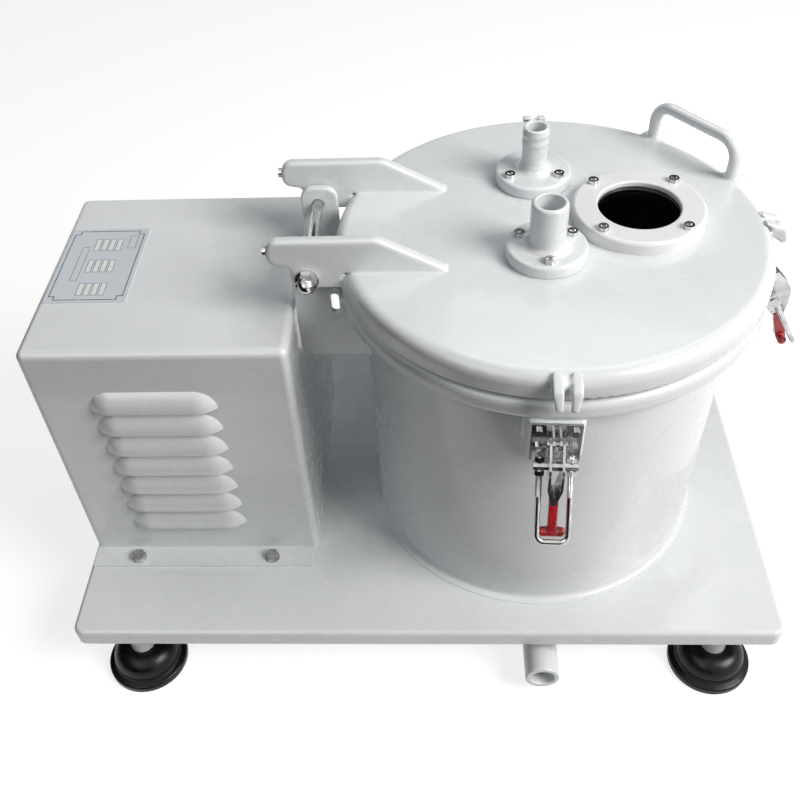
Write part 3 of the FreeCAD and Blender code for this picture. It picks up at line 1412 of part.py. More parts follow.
def make_belt_drive():
    at_motor = (MOTOR_X, 0, S.pulley_bottom)
    at_drum = (S.drum_x, 0, S.pulley_bottom)
    wheel = pulley("motor_pulley", S.motor_pulley_radius, S.shaft_radius)
    node("motor_pulley", place(wheel, at_motor))
    wheel = pulley("spindle_pulley", S.spindle_pulley_radius, S.spindle_seat)
    node("spindle_pulley", place(wheel, at_drum))
    body = prism("pulley_nut_body", S.pulley_nut_flats, S.pulley_nut_thick, at_drum, "-Z")
    hole = rod("pulley_nut_hole", S.spindle_thread, S.pulley_nut_thick, at_drum, "-Z")
    node("pulley_nut", cut("pulley_nut", body, hole))
    outer = belt_loop("belt_outside", S.belt_gap + S.belt_thick, BELT_BOTTOM, S.belt_width)
    inner = belt_loop("belt_inside", S.belt_gap, BELT_BOTTOM, S.belt_width)
    node("drive_belt", cut("drive_belt", outer, inner))


# ---------------------------------------------------------------- bearings, spindle, basket


def make_bearing_housing():
    top, bottom = S.housing_top, S.housing_bottom
    seat = S.bearing_outer + S.running_clearance / 2
    lower_top = S.bearing_low + S.bearing_width
    under = PLATE_UNDER - S.housing_flange_thick
    body = turned(
        "bearing_housing",
        [
            (seat, bottom),
            (S.housing_radius, bottom),
            (S.housing_radius, under),
            (S.housing_flange_radius, under),
            (S.housing_flange_radius, PLATE_UNDER),
            (S.housing_radius, PLATE_UNDER),
            (S.housing_radius, top),
            (seat, top),
            (seat, S.bearing_high),
            (S.bearing_shoulder, S.bearing_high),
            (S.bearing_shoulder, lower_top),
            (seat, lower_top),
        ],
    )
    place(body, DRUM)
    local = [(x - S.drum_x, y) for x, y in HOUSING_BOLTS]
    pocket(body, "housing_bolt_holes", "XY_Plane", spots=local, radius=S.plate_bolt_radius)
    node("bearing_housing", body)
    seal = turned(
        "spindle_seal",
        [
            (S.bearing_bore + S.running_clearance, 0),
            (S.bearing_outer, 0),
            (S.bearing_outer, S.seal_height),
            (S.bearing_bore + S.running_clearance, S.seal_height),
        ],
    )
    node("spindle_seal", place(seal, (S.drum_x, 0, S.housing_top - S.seal_height)))


def make_bearings():
    """Two deep groove ball bearings: their rings and their balls."""
    outers, inners, balls = [], [], []
    for name, low in (("low", S.bearing_low), ("high", S.bearing_high)):
        middle = low + S.bearing_width / 2
        track_r = S.ball_radius + S.ball_clearance
        for kind, inside, outside, rings in (
            ("outer", S.race_outer_inside, S.bearing_outer, outers),
            ("inner", S.bearing_bore, S.race_inner_outside, inners),
        ):
            full = f"{kind}_ring_{name}"
            disc = rod(full + "_disc", outside, S.bearing_width, (S.drum_x, 0, low))
            hole = rod(full + "_hole", inside, S.bearing_width, (S.drum_x, 0, low))
            radii = {"Radius1": S.ball_circle, "Radius2": track_r}
            track = primitive("Torus", full + "_track", (S.drum_x, 0, middle), "Z", **radii)
            rings.append(cut(full, disc, hole, track))
        for number in range(SIZES["ball_count"]):
            x, y = around(DRUM, S.ball_circle, 360 * number / SIZES["ball_count"])
            balls.append(ball(f"ball_{name}_{number}", S.ball_radius, (x, y, middle)))
    node("bearing_outer_rings", group("bearing_outer_rings", outers))
    node("bearing_inner_rings", group("bearing_inner_rings", inners))
    node("bearing_balls", group("bearing_balls", balls))


def make_spindle():
    hub_bottom = S.basket_bottom - S.hub_below
    hub_top = S.basket_bottom + S.hub_height
    lower_top = S.bearing_low + S.bearing_width
    groove = S.belt_width + 2 * S.belt_side_gap
    seat_low = S.pulley_bottom + S.rim_thick * 2 + groove + S.pulley_hub_height
    thread_top = hub_top + S.hub_cap_height - S.hub_cap_roof
    body = turned(
        "spindle",
        [
            (0, S.spindle_end),
            (S.spindle_thread, S.spindle_end, 1),
            (S.spindle_thread, S.pulley_bottom),
            (S.spindle_seat, S.pulley_bottom),
            (S.spindle_seat, seat_low),
            (S.bearing_bore, seat_low),
            (S.bearing_bore, lower_top),
            (S.spindle_shoulder, lower_top),
            (S.spindle_shoulder, S.bearing_high),
            (S.bearing_bore, S.bearing_high),
            (S.bearing_bore, hub_bottom),
            (S.spindle_seat, hub_bottom),
            (S.spindle_seat, hub_top),
            (S.spindle_thread, hub_top),
            (S.spindle_thread, thread_top, 1),
            (0, thread_top),
        ],
    )
    node("spindle", place(body, DRUM))
    cap = turned(
        "basket_cap_nut",
        [
            (S.spindle_thread, 0),
            (S.hub_cap_radius, 0),
            (S.hub_cap_radius, S.hub_cap_height, 8),
            (0, S.hub_cap_height),
            (0, S.hub_cap_height - S.hub_cap_roof),
            (S.spindle_thread, S.hub_cap_height - S.hub_cap_roof),
        ],
    )
    node("basket_cap_nut", place(cap, (S.drum_x, 0, hub_top)))


def make_basket():
    inner = S.basket_radius - S.basket_wall
    lip = S.basket_height - S.basket_lip_thick
    wall = turned(
        "basket_wall",
        [
            (inner, 0),
            (S.basket_radius, 0),
            (S.basket_radius, S.basket_height, 2),
            (S.basket_lip, S.basket_height),
            (S.basket_lip, lip),
            (inner, lip),
        ],
    )
    place(wall, (S.drum_x, 0, S.basket_bottom))
    drills = []
    for row in range(SIZES["hole_rows"]):
        height = S.basket_bottom + S.hole_first_row + row * S.hole_row_pitch
        for number in range(SIZES["holes_per_row"]):
            turn = 360 * number / SIZES["holes_per_row"]
            x, y = around(DRUM, inner - 4, turn)
            drill = DOC.addObject("Part::Cylinder", f"basket_drill_{row}_{number}")
            bind(drill, "Radius", S.hole_radius)
            bind(drill, "Height", S.basket_wall + 8)
            axis = (-math.sin(math.radians(turn)), math.cos(math.radians(turn)), 0)
            drills.append(place(drill, (x, y, height), axis, 90))
    wall = cut("basket_sieve", wall, group("basket_drills", drills))
    node("basket_wall", wall)
    floor = turned(
        "basket_floor",
        [
            (S.spindle_seat, -S.hub_below),
            (S.hub_radius, -S.hub_below),
            (S.hub_radius, 0),
            (inner, 0),
            (inner, S.basket_floor),
            (S.hub_radius + 8, S.basket_floor, 8),
            (S.hub_radius - 6, S.hub_height),
            (S.spindle_seat, S.hub_height),
        ],
    )
    node("basket_floor", place(floor, (S.drum_x, 0, S.basket_bottom)))


# ---------------------------------------------------------------- build, check and write


def build():
    make_sheet()
    make_base_plate()
    make_feet()
    make_casing()
    make_drain()
    make_latch_pads()
    make_hinge_ears()
    make_hinge_pin()
    lid = make_lid_plate()
    make_lid_arms(lid)
    make_lid_forks(lid)
    make_lid_handle(lid)
    node("lid_screws", group("lid_screws", make_nozzles() + make_sight_glass()))
    make_latch_fixed_parts()
    for side, angle in LATCHES.items():
        make_lever(side, angle)
        make_u_bolt(side, angle)
    make_cover()
    make_badge_and_gland()
    make_motor_plate()
    make_motor()
    make_drive_bolts()
    make_motor_fan()
    make_belt_drive()
    make_bearing_housing()
    make_bearings()
    make_spindle()
    make_basket()
    DOC.recompute()


def check():
    faults = []
    for thing in DOC.Objects:
        if "Invalid" in thing.State or "Error" in thing.State:
            faults.append(f"{thing.Name} is {thing.State}")
    for name, thing in NODES.items():
        if thing.Shape.isNull() or not thing.Shape.isValid() or not thing.Shape.Solids:
            faults.append(f"{name} has no valid solid")
    if faults:
        raise RuntimeError("; ".join(faults))


def write():
    os.makedirs("parts", exist_ok=True)
    for name, thing in NODES.items():
        thing.Shape.exportStep(os.path.join("parts", name + ".step"))
        bounds = thing.Shape.BoundBox
        spans = f"{bounds.XLength:.1f} x {bounds.YLength:.1f} x {bounds.ZLength:.1f}"
        print(f"{name}: {len(thing.Shape.Solids)} solid(s), {spans}")


build()
check()
write()
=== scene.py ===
import json
import math

import bmesh
import bpy
from mathutils import Matrix, Vector


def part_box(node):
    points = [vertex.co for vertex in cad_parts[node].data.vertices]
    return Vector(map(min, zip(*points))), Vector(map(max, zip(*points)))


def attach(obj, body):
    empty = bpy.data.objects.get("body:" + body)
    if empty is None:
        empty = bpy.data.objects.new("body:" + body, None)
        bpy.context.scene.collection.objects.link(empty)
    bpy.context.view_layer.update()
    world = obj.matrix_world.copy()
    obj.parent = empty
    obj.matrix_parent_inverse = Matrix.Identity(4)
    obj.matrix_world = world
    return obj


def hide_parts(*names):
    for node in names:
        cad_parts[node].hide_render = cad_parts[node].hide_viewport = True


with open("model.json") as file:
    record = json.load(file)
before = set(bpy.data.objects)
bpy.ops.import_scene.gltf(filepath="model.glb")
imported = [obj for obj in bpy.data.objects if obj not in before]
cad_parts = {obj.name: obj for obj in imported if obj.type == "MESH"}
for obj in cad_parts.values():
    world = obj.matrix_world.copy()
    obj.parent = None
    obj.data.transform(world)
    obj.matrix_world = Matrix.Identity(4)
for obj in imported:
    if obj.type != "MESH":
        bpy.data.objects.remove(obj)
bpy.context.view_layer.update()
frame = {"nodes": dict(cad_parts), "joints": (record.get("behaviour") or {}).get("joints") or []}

# A belt-driven basket centrifuge. X runs from the motor to the drum, Y to the back, Z up.
# Everything is in metres, in the frame of the solids.

MM = 0.001
NODES = frame["nodes"]
SIDES = ("right", "front", "back")


# ---------------------------------------------------------------- places read from the frame


def middle(node):
    low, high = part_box(node)
    return (low + high) / 2


def pivot_of(joint_name):
    return Vector(next(j["pos_m"] for j in frame["joints"] if j["name"] == joint_name))


DRUM = middle("lid_plate")
LID_LOW, LID_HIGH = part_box("lid_plate")
LID_TOP = LID_HIGH.z
LID_RADIUS = (LID_HIGH.x - LID_LOW.x) / 2
# The arcs of the lid's upper and lower corners under the coat.
LID_ROUND, LID_HEM = 13 * MM, 4 * MM
# The casing's wall stands inside the weld round its foot, which is its widest part.
WALL_LOW, WALL_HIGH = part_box("casing_wall")
FOOT_WELD = 8 * MM
CASING_RADIUS = (WALL_HIGH.x - WALL_LOW.x) / 2 - FOOT_WELD
FLANGE_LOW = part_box("casing_flange")[0].z
FLANGE_ROUND = 8 * MM
# How far a bed lies under the skin that it copies, so that only the weld on it shows.
COAT = 0.12 * MM


# ---------------------------------------------------------------- materials


def linear(hex_colour):
    """An sRGB hex value, such as "D6DBDF", as linear red, green, blue and alpha."""
    parts = [int(hex_colour[i : i + 2], 16) / 255 for i in (0, 2, 4)]
    return [p / 12.92 if p <= 0.04045 else ((p + 0.055) / 1.055) ** 2.4 for p in parts] + [1.0]


def add(tree, kind, inputs=None, **settings):
    """Adds a node. An input takes a value, or another node's output."""
    node = tree.nodes.new("ShaderNode" + kind)
    for name, value in settings.items():
        setattr(node, name, value)
    for socket, value in (inputs or {}).items():
        if isinstance(value, bpy.types.NodeSocket):
            tree.links.new(value, node.inputs[socket])
        else:
            node.inputs[socket].default_value = value
    return node


def new_material(name, **constants):
    """A material with one Principled shader, its constants set on its own sockets."""
    material = bpy.data.materials.new(name)
    material.use_nodes = True
    tree = material.node_tree
    shader = next(n for n in tree.nodes if n.type == "BSDF_PRINCIPLED")
    for socket, value in constants.items():
        shader.inputs[socket.replace("_", " ")].default_value = value
    return material, tree, shader


def place_of(tree):
    return add(tree, "TexCoord").outputs["Object"]


def noise(tree, place, period, detail=2.0, roughness=0.5):
    """Noise with bumps about one period apart, in metres."""
    settings = {"Vector": place, "Scale": 1 / period, "Detail": detail, "Roughness": roughness}
    return add(tree, "TexNoise", settings).outputs["Fac"]


def spread(tree, value, low, high, to_low=0.0, to_high=1.0):
    """A value stretched from one range to another, held at both ends."""
    limits = {"From Min": low, "From Max": high, "To Min": to_low, "To Max": to_high}
    return add(tree, "MapRange", {"Value": value, **limits}).outputs["Result"]


def blend_colours(tree, share, first, second):
    """A mix of two colours, each a hex value or another node's output."""
    node = add(tree, "Mix", data_type="RGBA")
    pairs = (("Factor_Float", share), ("A_Color", first), ("B_Color", second))
    for identifier, value in pairs:
        socket = next(s for s in node.inputs if s.identifier == identifier)
        if isinstance(value, bpy.types.NodeSocket):
            tree.links.new(value, socket)
        else:
            socket.default_value = linear(value) if isinstance(value, str) else value
    return next(s for s in node.outputs if s.identifier == "Result_Color")


def bump(tree, heights):
    """Bumps stacked on each other, from pairs of a height pattern and its depth in metres."""
    normal = None
    for height, depth in heights:
        inputs = {"Height": height, "Distance": depth, "Strength": 1.0}
        if normal is not None:
            inputs["Normal"] = normal
        normal = add(tree, "Bump", inputs).outputs["Normal"]
    return normal


def dots(tree, place, spacing, radius, share):
    """Small round spots, one in some of the cells of a random grid. 1 at a spot's middle."""
    cells = add(tree, "TexVoronoi", {"Vector": place, "Scale": 1 / spacing, "Randomness": 1.0})
    near = spread(tree, cells.outputs["Distance"], radius / spacing, 0.0)
    lucky = add(tree, "SeparateColor", {"Color": cells.outputs["Color"]}).outputs["Red"]
    chosen = add(tree, "Math", {0: lucky, 1: share}, operation="LESS_THAN").outputs["Value"]
    return add(tree, "Math", {0: near, 1: chosen}, operation="MULTIPLY").outputs["Value"]


def make_dip_coating(name, pale, dull, gloss):
    """Polyethylene dip coating, melted on in one thick coat. It rounds every edge and flows
    in soft ripples, with orange peel, a few pimples over grit, and dark specks."""
    material, tree, shader = new_material(name, IOR=1.5, Coat_Weight=0.35, Coat_Roughness=0.07)
    place = place_of(tree)
    cloud = spread(tree, noise(tree, place, 160 * MM, 2), 0.3, 0.7)
    tone = blend_colours(tree, cloud, pale, dull)
    specks = dots(tree, place, 24 * MM, 0.5 * MM, 0.12)
    hard_specks = spread(tree, specks, 0.0, 0.5)
    tree.links.new(blend_colours(tree, hard_specks, tone, "7D827F"), shader.inputs["Base Color"])
    smears = noise(tree, place, 30 * MM, 3)
    worn = spread(tree, smears, 0.3, 0.7, gloss, gloss + 0.09)
    tree.links.new(worn, shader.inputs["Roughness"])
    ripples = noise(tree, place, 38 * MM, 1)
    peel = noise(tree, place, 5.5 * MM, 1)
    pimples = dots(tree, place, 27 * MM, 1.1 * MM, 0.1)
    surface = bump(tree, ((ripples, 0.5 * MM), (peel, 0.03 * MM), (pimples, 0.16 * MM)))
    tree.links.new(surface, shader.inputs["Normal"])
    return material


def make_moulded_rubber(name, colour, bloomed, gloss):
    """Compression-moulded rubber: a soft sheen, and a bloom that greys it."""
    material, tree, shader = new_material(name, IOR=1.45, Specular_IOR_Level=0.3)
    place = place_of(tree)
    bloom = spread(tree, noise(tree, place, 22 * MM, 4, 0.6), 0.45, 0.8)
    tree.links.new(blend_colours(tree, bloom, colour, bloomed), shader.inputs["Base Color"])
    sheen = spread(tree, noise(tree, place, 9 * MM, 3), 0.3, 0.7, gloss, gloss + 0.14)
    tree.links.new(sheen, shader.inputs["Roughness"])
    grain = noise(tree, place, 0.9 * MM, 2)
    lumps = noise(tree, place, 14 * MM, 1)
    tree.links.new(bump(tree, ((grain, 0.04 * MM), (lumps, 0.25 * MM))), shader.inputs["Normal"])
    return material


def make_bright_steel(name, colour, gloss, scratch=0.012):
    """Pressed stainless steel, polished bright, with hairline scratches and finger smears."""
    material, tree, shader = new_material(name, Metallic=1.0)
    place = place_of(tree)
    smears = noise(tree, place, 12 * MM, 3)
    shade = spread(tree, smears, 0.3, 0.75)
    tree.links.new(blend_colours(tree, shade, colour, "A8A9A7"), shader.inputs["Base Color"])
    haze = spread(tree, smears, 0.3, 0.75, gloss, gloss + 0.12)
    tree.links.new(haze, shader.inputs["Roughness"])
    stretched = add(tree, "Mapping", {"Vector": place, "Scale": (1.0, 1.0, 0.06)})
    hairlines = noise(tree, stretched.outputs["Vector"], 0.5 * MM, 2)
    tree.links.new(bump(tree, ((hairlines, scratch * MM),)), shader.inputs["Normal"])
    return material


def make_turned_steel(name, colour, gloss, ring=0.7):
    """Steel turned on a lathe: fine rings round the upright axis that catch the light."""
    material, tree, shader = new_material(name, Metallic=1.0)
    place = place_of(tree)
    squashed = add(tree, "Mapping", {"Vector": place, "Scale": (0.03, 0.03, 1.0)})
    rings = noise(tree, squashed.outputs["Vector"], ring * MM, 3)
    stain = spread(tree, noise(tree, place, 25 * MM, 4), 0.4, 0.75)
    tree.links.new(blend_colours(tree, stain, colour, "8F8C85"), shader.inputs["Base Color"])
    tree.links.new(spread(tree, rings, 0.3, 0.7, gloss, gloss + 0.15), shader.inputs["Roughness"])
    tree.links.new(bump(tree, ((rings, 0.02 * MM),)), shader.inputs["Normal"])
    return material


def make_zinc_plate():
    """Yellow-passivated zinc on rolled bolts: a greenish metal with cloudy, worn patches."""
    material, tree, shader = new_material("zinc_plate", Metallic=1.0)
    place = place_of(tree)
    patches = spread(tree, noise(tree, place, 6 * MM, 4, 0.6), 0.35, 0.7)
    tree.links.new(blend_colours(tree, patches, "B9BAB6", "85867F"), shader.inputs["Base Color"])
    tree.links.new(spread(tree, patches, 0, 1, 0.28, 0.5), shader.inputs["Roughness"])
    pits = noise(tree, place, 0.8 * MM, 2)
    tree.links.new(bump(tree, ((pits, 0.05 * MM),)), shader.inputs["Normal"])
    return material


def make_dipped_vinyl():
    """Red PVC dipped on a hot steel core: wet gloss, thicker where it ran, small sags."""
    material, tree, shader = new_material("dipped_vinyl", IOR=1.54, Coat_Weight=0.5)
    shader.inputs["Coat Roughness"].default_value = 0.06
    place = place_of(tree)
    depth = spread(tree, noise(tree, place, 11 * MM, 2), 0.3, 0.7)
    tree.links.new(blend_colours(tree, depth, "B3101B", "8E0B14"), shader.inputs["Base Color"])
    tree.links.new(spread(tree, depth, 0, 1, 0.22, 0.34), shader.inputs["Roughness"])
    sags = noise(tree, place, 7 * MM, 1)
    tree.links.new(bump(tree, ((sags, 0.4 * MM),)), shader.inputs["Normal"])
    return material


def make_sight_glass():
    """Toughened glass, 7 mm thick, its edge and body a faint green."""
    material, tree, shader = new_material("toughened_glass", IOR=1.5, Transmission_Weight=1.0)
    shader.inputs["Base Color"].default_value = linear("36403C")
    place = place_of(tree)
    film = spread(tree, noise(tree, place, 18 * MM, 4), 0.45, 0.8, 0.01, 0.08)
    tree.links.new(film, shader.inputs["Roughness"])
    return material


def make_cast_metal(name, colour, dark, gloss, metallic):
    """Sand-cast metal: grainy skin with a few blow holes, oily in the hollows."""
    material, tree, shader = new_material(name, Metallic=metallic)
    place = place_of(tree)
    oil = spread(tree, noise(tree, place, 28 * MM, 4), 0.35, 0.7)
    tree.links.new(blend_colours(tree, oil, colour, dark), shader.inputs["Base Color"])
    tree.links.new(spread(tree, oil, 0, 1, gloss + 0.15, gloss), shader.inputs["Roughness"])
    skin = noise(tree, place, 1.3 * MM, 3)
    holes = dots(tree, place, 9 * MM, 0.8 * MM, 0.35)
    sunk = add(tree, "Math", {0: 0.0, 1: holes}, operation="SUBTRACT").outputs["Value"]
    tree.links.new(bump(tree, ((skin, 0.18 * MM), (sunk, 0.3 * MM))), shader.inputs["Normal"])
    return material


def make_moulded_nylon():
    """Injection-moulded nylon with a spark-eroded texture, matt black."""
    material, tree, shader = new_material("moulded_nylon", IOR=1.53, Roughness=0.48)
    place = place_of(tree)
    dust = spread(tree, noise(tree, place, 15 * MM, 4), 0.45, 0.8)
    tree.links.new(blend_colours(tree, dust, "151618", "26282A"), shader.inputs["Base Color"])
    grain = noise(tree, place, 0.6 * MM, 2)
    tree.links.new(bump(tree, ((grain, 0.06 * MM),)), shader.inputs["Normal"])
    return material


def make_etched_ink():
    """Black enamel rubbed into etched lines, worn to grey here and there."""
    material, tree, shader = new_material("etched_enamel", IOR=1.5, Roughness=0.4)
    wear = spread(tree, noise(tree, place_of(tree), 7 * MM, 3), 0.42, 0.8)
    tree.links.new(blend_colours(tree, wear, "2B3136", "7A828A"), shader.inputs["Base Color"])
    return material


def make_bare_field():
    """Aluminium left bare inside the ruled boxes, bead-blasted to a pale matt."""
    material, tree, shader = new_material("blasted_aluminium", Metallic=0.4, Roughness=0.6)
    beads = spread(tree, noise(tree, place_of(tree), 3 * MM, 3), 0.3, 0.7)
    tree.links.new(blend_colours(tree, beads, "E4E6E4", "D3D6D5"), shader.inputs["Base Color"])
    return material


def make_satin_aluminium():
    """Anodised aluminium sheet, brushed along its length, a cool grey."""
    material, tree, shader = new_material("anodised_aluminium", Metallic=0.6)
    place = place_of(tree)
    stretched = add(tree, "Mapping", {"Vector": place, "Scale": (0.03, 1.0, 1.0)})
    lines = noise(tree, stretched.outputs["Vector"], 0.6 * MM, 3)
    tone = blend_colours(tree, lines, "BEC4CB", "CBD0D6")
    tree.links.new(tone, shader.inputs["Base Color"])
    tree.links.new(spread(tree, lines, 0.3, 0.7, 0.34, 0.5), shader.inputs["Roughness"])
    tree.links.new(bump(tree, ((lines, 0.02 * MM),)), shader.inputs["Normal"])
    return material


COATING = make_dip_coating("dip_coating_grey", "DADDDF", "D5D8DA", 0.22)
WARM_COATING = make_dip_coating("dip_coating_ivory", "E1E2E2", "DADBDA", 0.26)
RUBBER = make_moulded_rubber("moulded_rubber", "050606", "0D0F10", 0.24)
GASKET = make_moulded_rubber("silicone_sheet", "BFC2BD", "B2B5B0", 0.45)
BRIGHT = make_bright_steel("polished_stainless", "DADBDA", 0.12)
BASKET_STEEL = make_turned_steel("satin_stainless", "C6C7C5", 0.24, 1.6)
TURNED = make_turned_steel("turned_steel", "B9B8B4", 0.22)
ZINC = make_zinc_plate()
BEARING = make_bright_steel("chrome_bearing_steel", "C9CACB", 0.08, 0.004)
VINYL = make_dipped_vinyl()
GLASS = make_sight_glass()
IRON = make_cast_metal("cast_iron", "6B6C6C", "3C3B3A", 0.42, 0.75)
MOTOR_PAINT = make_cast_metal("motor_enamel", "46545E", "38434B", 0.34, 0.0)
NYLON = make_moulded_nylon()
ALUMINIUM = make_satin_aluminium()
INK = make_etched_ink()
BARE_FIELD = make_bare_field()

FINISHES = (
    (COATING, "base_plate foot_posts casing_wall casing_flange casing_floor latch_pads"),
    (COATING, "hinge_ears drain_pipe lid_plate lid_arms lid_forks lid_handle motor_cover"),
    (WARM_COATING, "feed_nozzle wash_nozzle sight_ring"),
    (RUBBER, "rubber_feet drive_belt spindle_seal"),
    (GASKET, "casing_gasket sight_gasket"),
    (BRIGHT, "lid_screws latch_bases latch_screws latch_pivot_pins hinge_pin hinge_nuts"),
    (BRIGHT, "stop_screws"),
    (BASKET_STEEL, "basket_wall basket_floor basket_cap_nut"),
    (ZINC, "cover_bolts foot_studs drive_bolts motor_mount_plate pulley_nut"),
    (TURNED, "spindle motor_shaft"),
    (BEARING, "bearing_outer_rings bearing_inner_rings bearing_balls"),
    (GLASS, "sight_glass"),
    (IRON, "bearing_housing spindle_pulley motor_pulley"),
    (MOTOR_PAINT, "motor_frame motor_fan_cover motor_terminal_box"),
    (NYLON, "motor_fan cable_gland"),
    (ALUMINIUM, "nameplate"),
)
LATCH_FINISHES = (("latch_lever_", BRIGHT), ("latch_u_bolt_", BRIGHT), ("latch_grip_", VINYL))


def dress_solids():
    """Gives every solid its finish."""
    finishes = {name: material for material, names in FINISHES for name in names.split()}
    for prefix, material in LATCH_FINISHES:
        finishes.update({prefix + side: material for side in SIDES})
    for name, solid in NODES.items():
        for place in solid.material_slots:
            place.material = finishes[name]


# ---------------------------------------------------------------- making pieces


def solid_copy(*names):
    """The merged meshes of some solids, in one bmesh."""
    bm = bmesh.new()
    for name in names:
        bm.from_mesh(NODES[name].data)
    bmesh.ops.remove_doubles(bm, verts=bm.verts, dist=0.005 * MM)
    return bm


def add_piece(name, bm, material, body, replaced=(), crease=35):
    """Makes a bmesh a piece of the object, smooth but for edges sharper than the crease."""
    mesh = bpy.data.meshes.new(name)
    bm.to_mesh(mesh)
    bm.free()
    mesh.materials.append(material)
    mesh.shade_smooth()
    mesh.set_sharp_from_angle(angle=math.radians(crease))
    piece = bpy.data.objects.new(name, mesh)
    bpy.context.scene.collection.objects.link(piece)
    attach(piece, body)
    if replaced:
        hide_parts(*replaced)
    return piece


def flow_together(bm, voxel, rounds):
    """Melts overlapping shells into one skin, as a thick coat does, and softens its corners."""
    mesh = bpy.data.meshes.new("to_melt")
    bm.to_mesh(mesh)
    bm.free()
    lump = bpy.data.objects.new("to_melt", mesh)
    bpy.context.scene.collection.objects.link(lump)
    melt = lump.modifiers.new("melt", "REMESH")
    melt.mode = "VOXEL"
    melt.voxel_size = voxel
    bpy.context.view_layer.update()
    melted = bpy.data.meshes.new_from_object(
        lump.evaluated_get(bpy.context.evaluated_depsgraph_get())
    )
    skin = bmesh.new()
    skin.from_mesh(melted)
    bpy.data.objects.remove(lump)
    bpy.data.meshes.remove(mesh)
    bpy.data.meshes.remove(melted)
    for _ in range(rounds):
        bmesh.ops.smooth_vert(skin, verts=skin.verts, factor=0.5, use_axis_x=True,
                              use_axis_y=True, use_axis_z=True)
    return skin


def spun_sector(bm, outline, start, end):
    """A closed stretch of a ring round the drum's axis, from an outline of radii and heights.
    The angles are in degrees."""
    turn = Matrix.Translation((DRUM.x, DRUM.y, 0)) @ Matrix.Rotation(math.radians(start), 4, "Z")
    face = bm.faces.new([bm.verts.new(turn @ Vector((r, 0, z))) for r, z in outline])
    whole = [face, *face.edges, *face.verts]
    made = bmesh.ops.duplicate(bm, geom=whole)["geom"]
    bmesh.ops.reverse_faces(bm, faces=[f for f in made if isinstance(f, bmesh.types.BMFace)])
    bmesh.ops.spin(bm, geom=whole, cent=(DRUM.x, DRUM.y, 0), axis=(0, 0, 1),
                   angle=math.radians(end - start), steps=max(4, round(abs(end - start))))
    bmesh.ops.remove_doubles(bm, verts=bm.verts, dist=0.001 * MM)


def soften_lid_rim(bm):
    """Rounds the lid's edge as the thick coat does: the corner's points slide out to wider arcs."""
    narrow, hem = 7 * MM, 3 * MM
    for vert in bm.verts:
        away = Vector((vert.co.x - DRUM.x, vert.co.y - DRUM.y))
        r, z = away.length, vert.co.z
        if r < LID_RADIUS - narrow - COAT:
            continue
        above, below = z - (LID_TOP - narrow), (LID_LOW.z + hem) - z
        if above > -COAT:
            turn = math.atan2(max(above, 0.0), r - (LID_RADIUS - narrow))
            out, z = LID_RADIUS - LID_ROUND, LID_TOP - LID_ROUND
            size, rise = LID_ROUND, 1
        elif below > -COAT and r > LID_RADIUS - hem - COAT:
            turn = math.atan2(max(below, 0.0), r - (LID_RADIUS - hem))
            out, z = LID_RADIUS - LID_HEM, LID_LOW.z + LID_HEM
            size, rise = LID_HEM, -1
        else:
            continue
        away *= (out + size * math.cos(turn)) / r
        vert.co = (DRUM.x + away.x, DRUM.y + away.y, z + rise * size * math.sin(turn))


def quarter(radius, centre_r, centre_z, start):
    """A quarter of a circle in an outline, from a start angle in degrees, counterclockwise."""
    turns = [math.radians(start + step) for step in range(0, 91, 10)]
    return [(centre_r + radius * math.cos(a), centre_z + radius * math.sin(a)) for a in turns]


def lid_bed(bm, start, end, inner):
    """The lid's skin under a weld, sunk by a hair so that only the weld stands out of it."""
    skirt, roof_thick, rim_thick = 20 * MM, 5 * MM, 9 * MM
    top, edge = LID_TOP - COAT, LID_RADIUS - COAT
    low, ceiling = top - skirt, top - roof_thick
    outline = [(edge, low), *quarter(LID_ROUND, edge - LID_ROUND, top - LID_ROUND, 0)]
    outline += [(inner, top), (inner, ceiling), (edge - rim_thick, ceiling)]
    outline.append((edge - rim_thick, low))
    spun_sector(bm, outline, start, end)


def casing_bed(bm, start, end, low):
    """The casing's wall and the underside of its flange, sunk as the lid's skin is."""
    wall_thick, rise = 3 * MM, 11 * MM
    wall, edge, under = CASING_RADIUS - COAT, LID_RADIUS - COAT, FLANGE_LOW + COAT
    bend = quarter(FLANGE_ROUND, edge - FLANGE_ROUND, under + FLANGE_ROUND, 270)
    outline = [(wall, low), (wall, under), *bend, (edge, under + rise)]
    outline += [(wall - wall_thick, under + rise), (wall - wall_thick, low)]
    spun_sector(bm, outline, start, end)


# ---------------------------------------------------------------- pieces


def islands(bm):
    """The separate shells of a bmesh, each as a list of its corners."""
    left = set(bm.verts)
    while left:
        shell, queue = [], [left.pop()]
        while queue:
            corner = queue.pop()
            shell.append(corner)
            for edge in corner.link_edges:
                other = edge.other_vert(corner)
                if other in left:
                    left.remove(other)
                    queue.append(other)
        yield shell


def angle_of(shell):
    """The direction, in degrees, from the drum's axis to the middle of a shell."""
    point = sum((v.co for v in shell), Vector()) / len(shell)
    return math.degrees(math.atan2(point.y - DRUM.y, point.x - DRUM.x))


def weld_ring(bm, centre, foot, size, lift=0.0):
    """A hollow weld round a round foot: a ring whose section curves from upright to flat."""
    turn = Matrix.Translation((centre.x, centre.y, lift))
    hollow = [
        (foot + size * (1 - math.sin(a)), size * (1 - math.cos(a)))
        for a in (math.radians(step) for step in range(0, 91, 15))
    ]
    outline = [(foot - 1 * MM, -1 * MM), (foot + size, -1 * MM), *hollow, (foot - 1 * MM, size)]
    ring = [bm.verts.new(turn @ Vector((r, 0, z))) for r, z in outline]
    edges = [bm.edges.new(pair) for pair in zip(ring, ring[1:] + ring[:1])]
    bmesh.ops.spin(bm, geom=ring + edges, cent=(centre.x, centre.y, 0), axis=(0, 0, 1),
                   angle=math.tau, steps=48, use_merge=True)


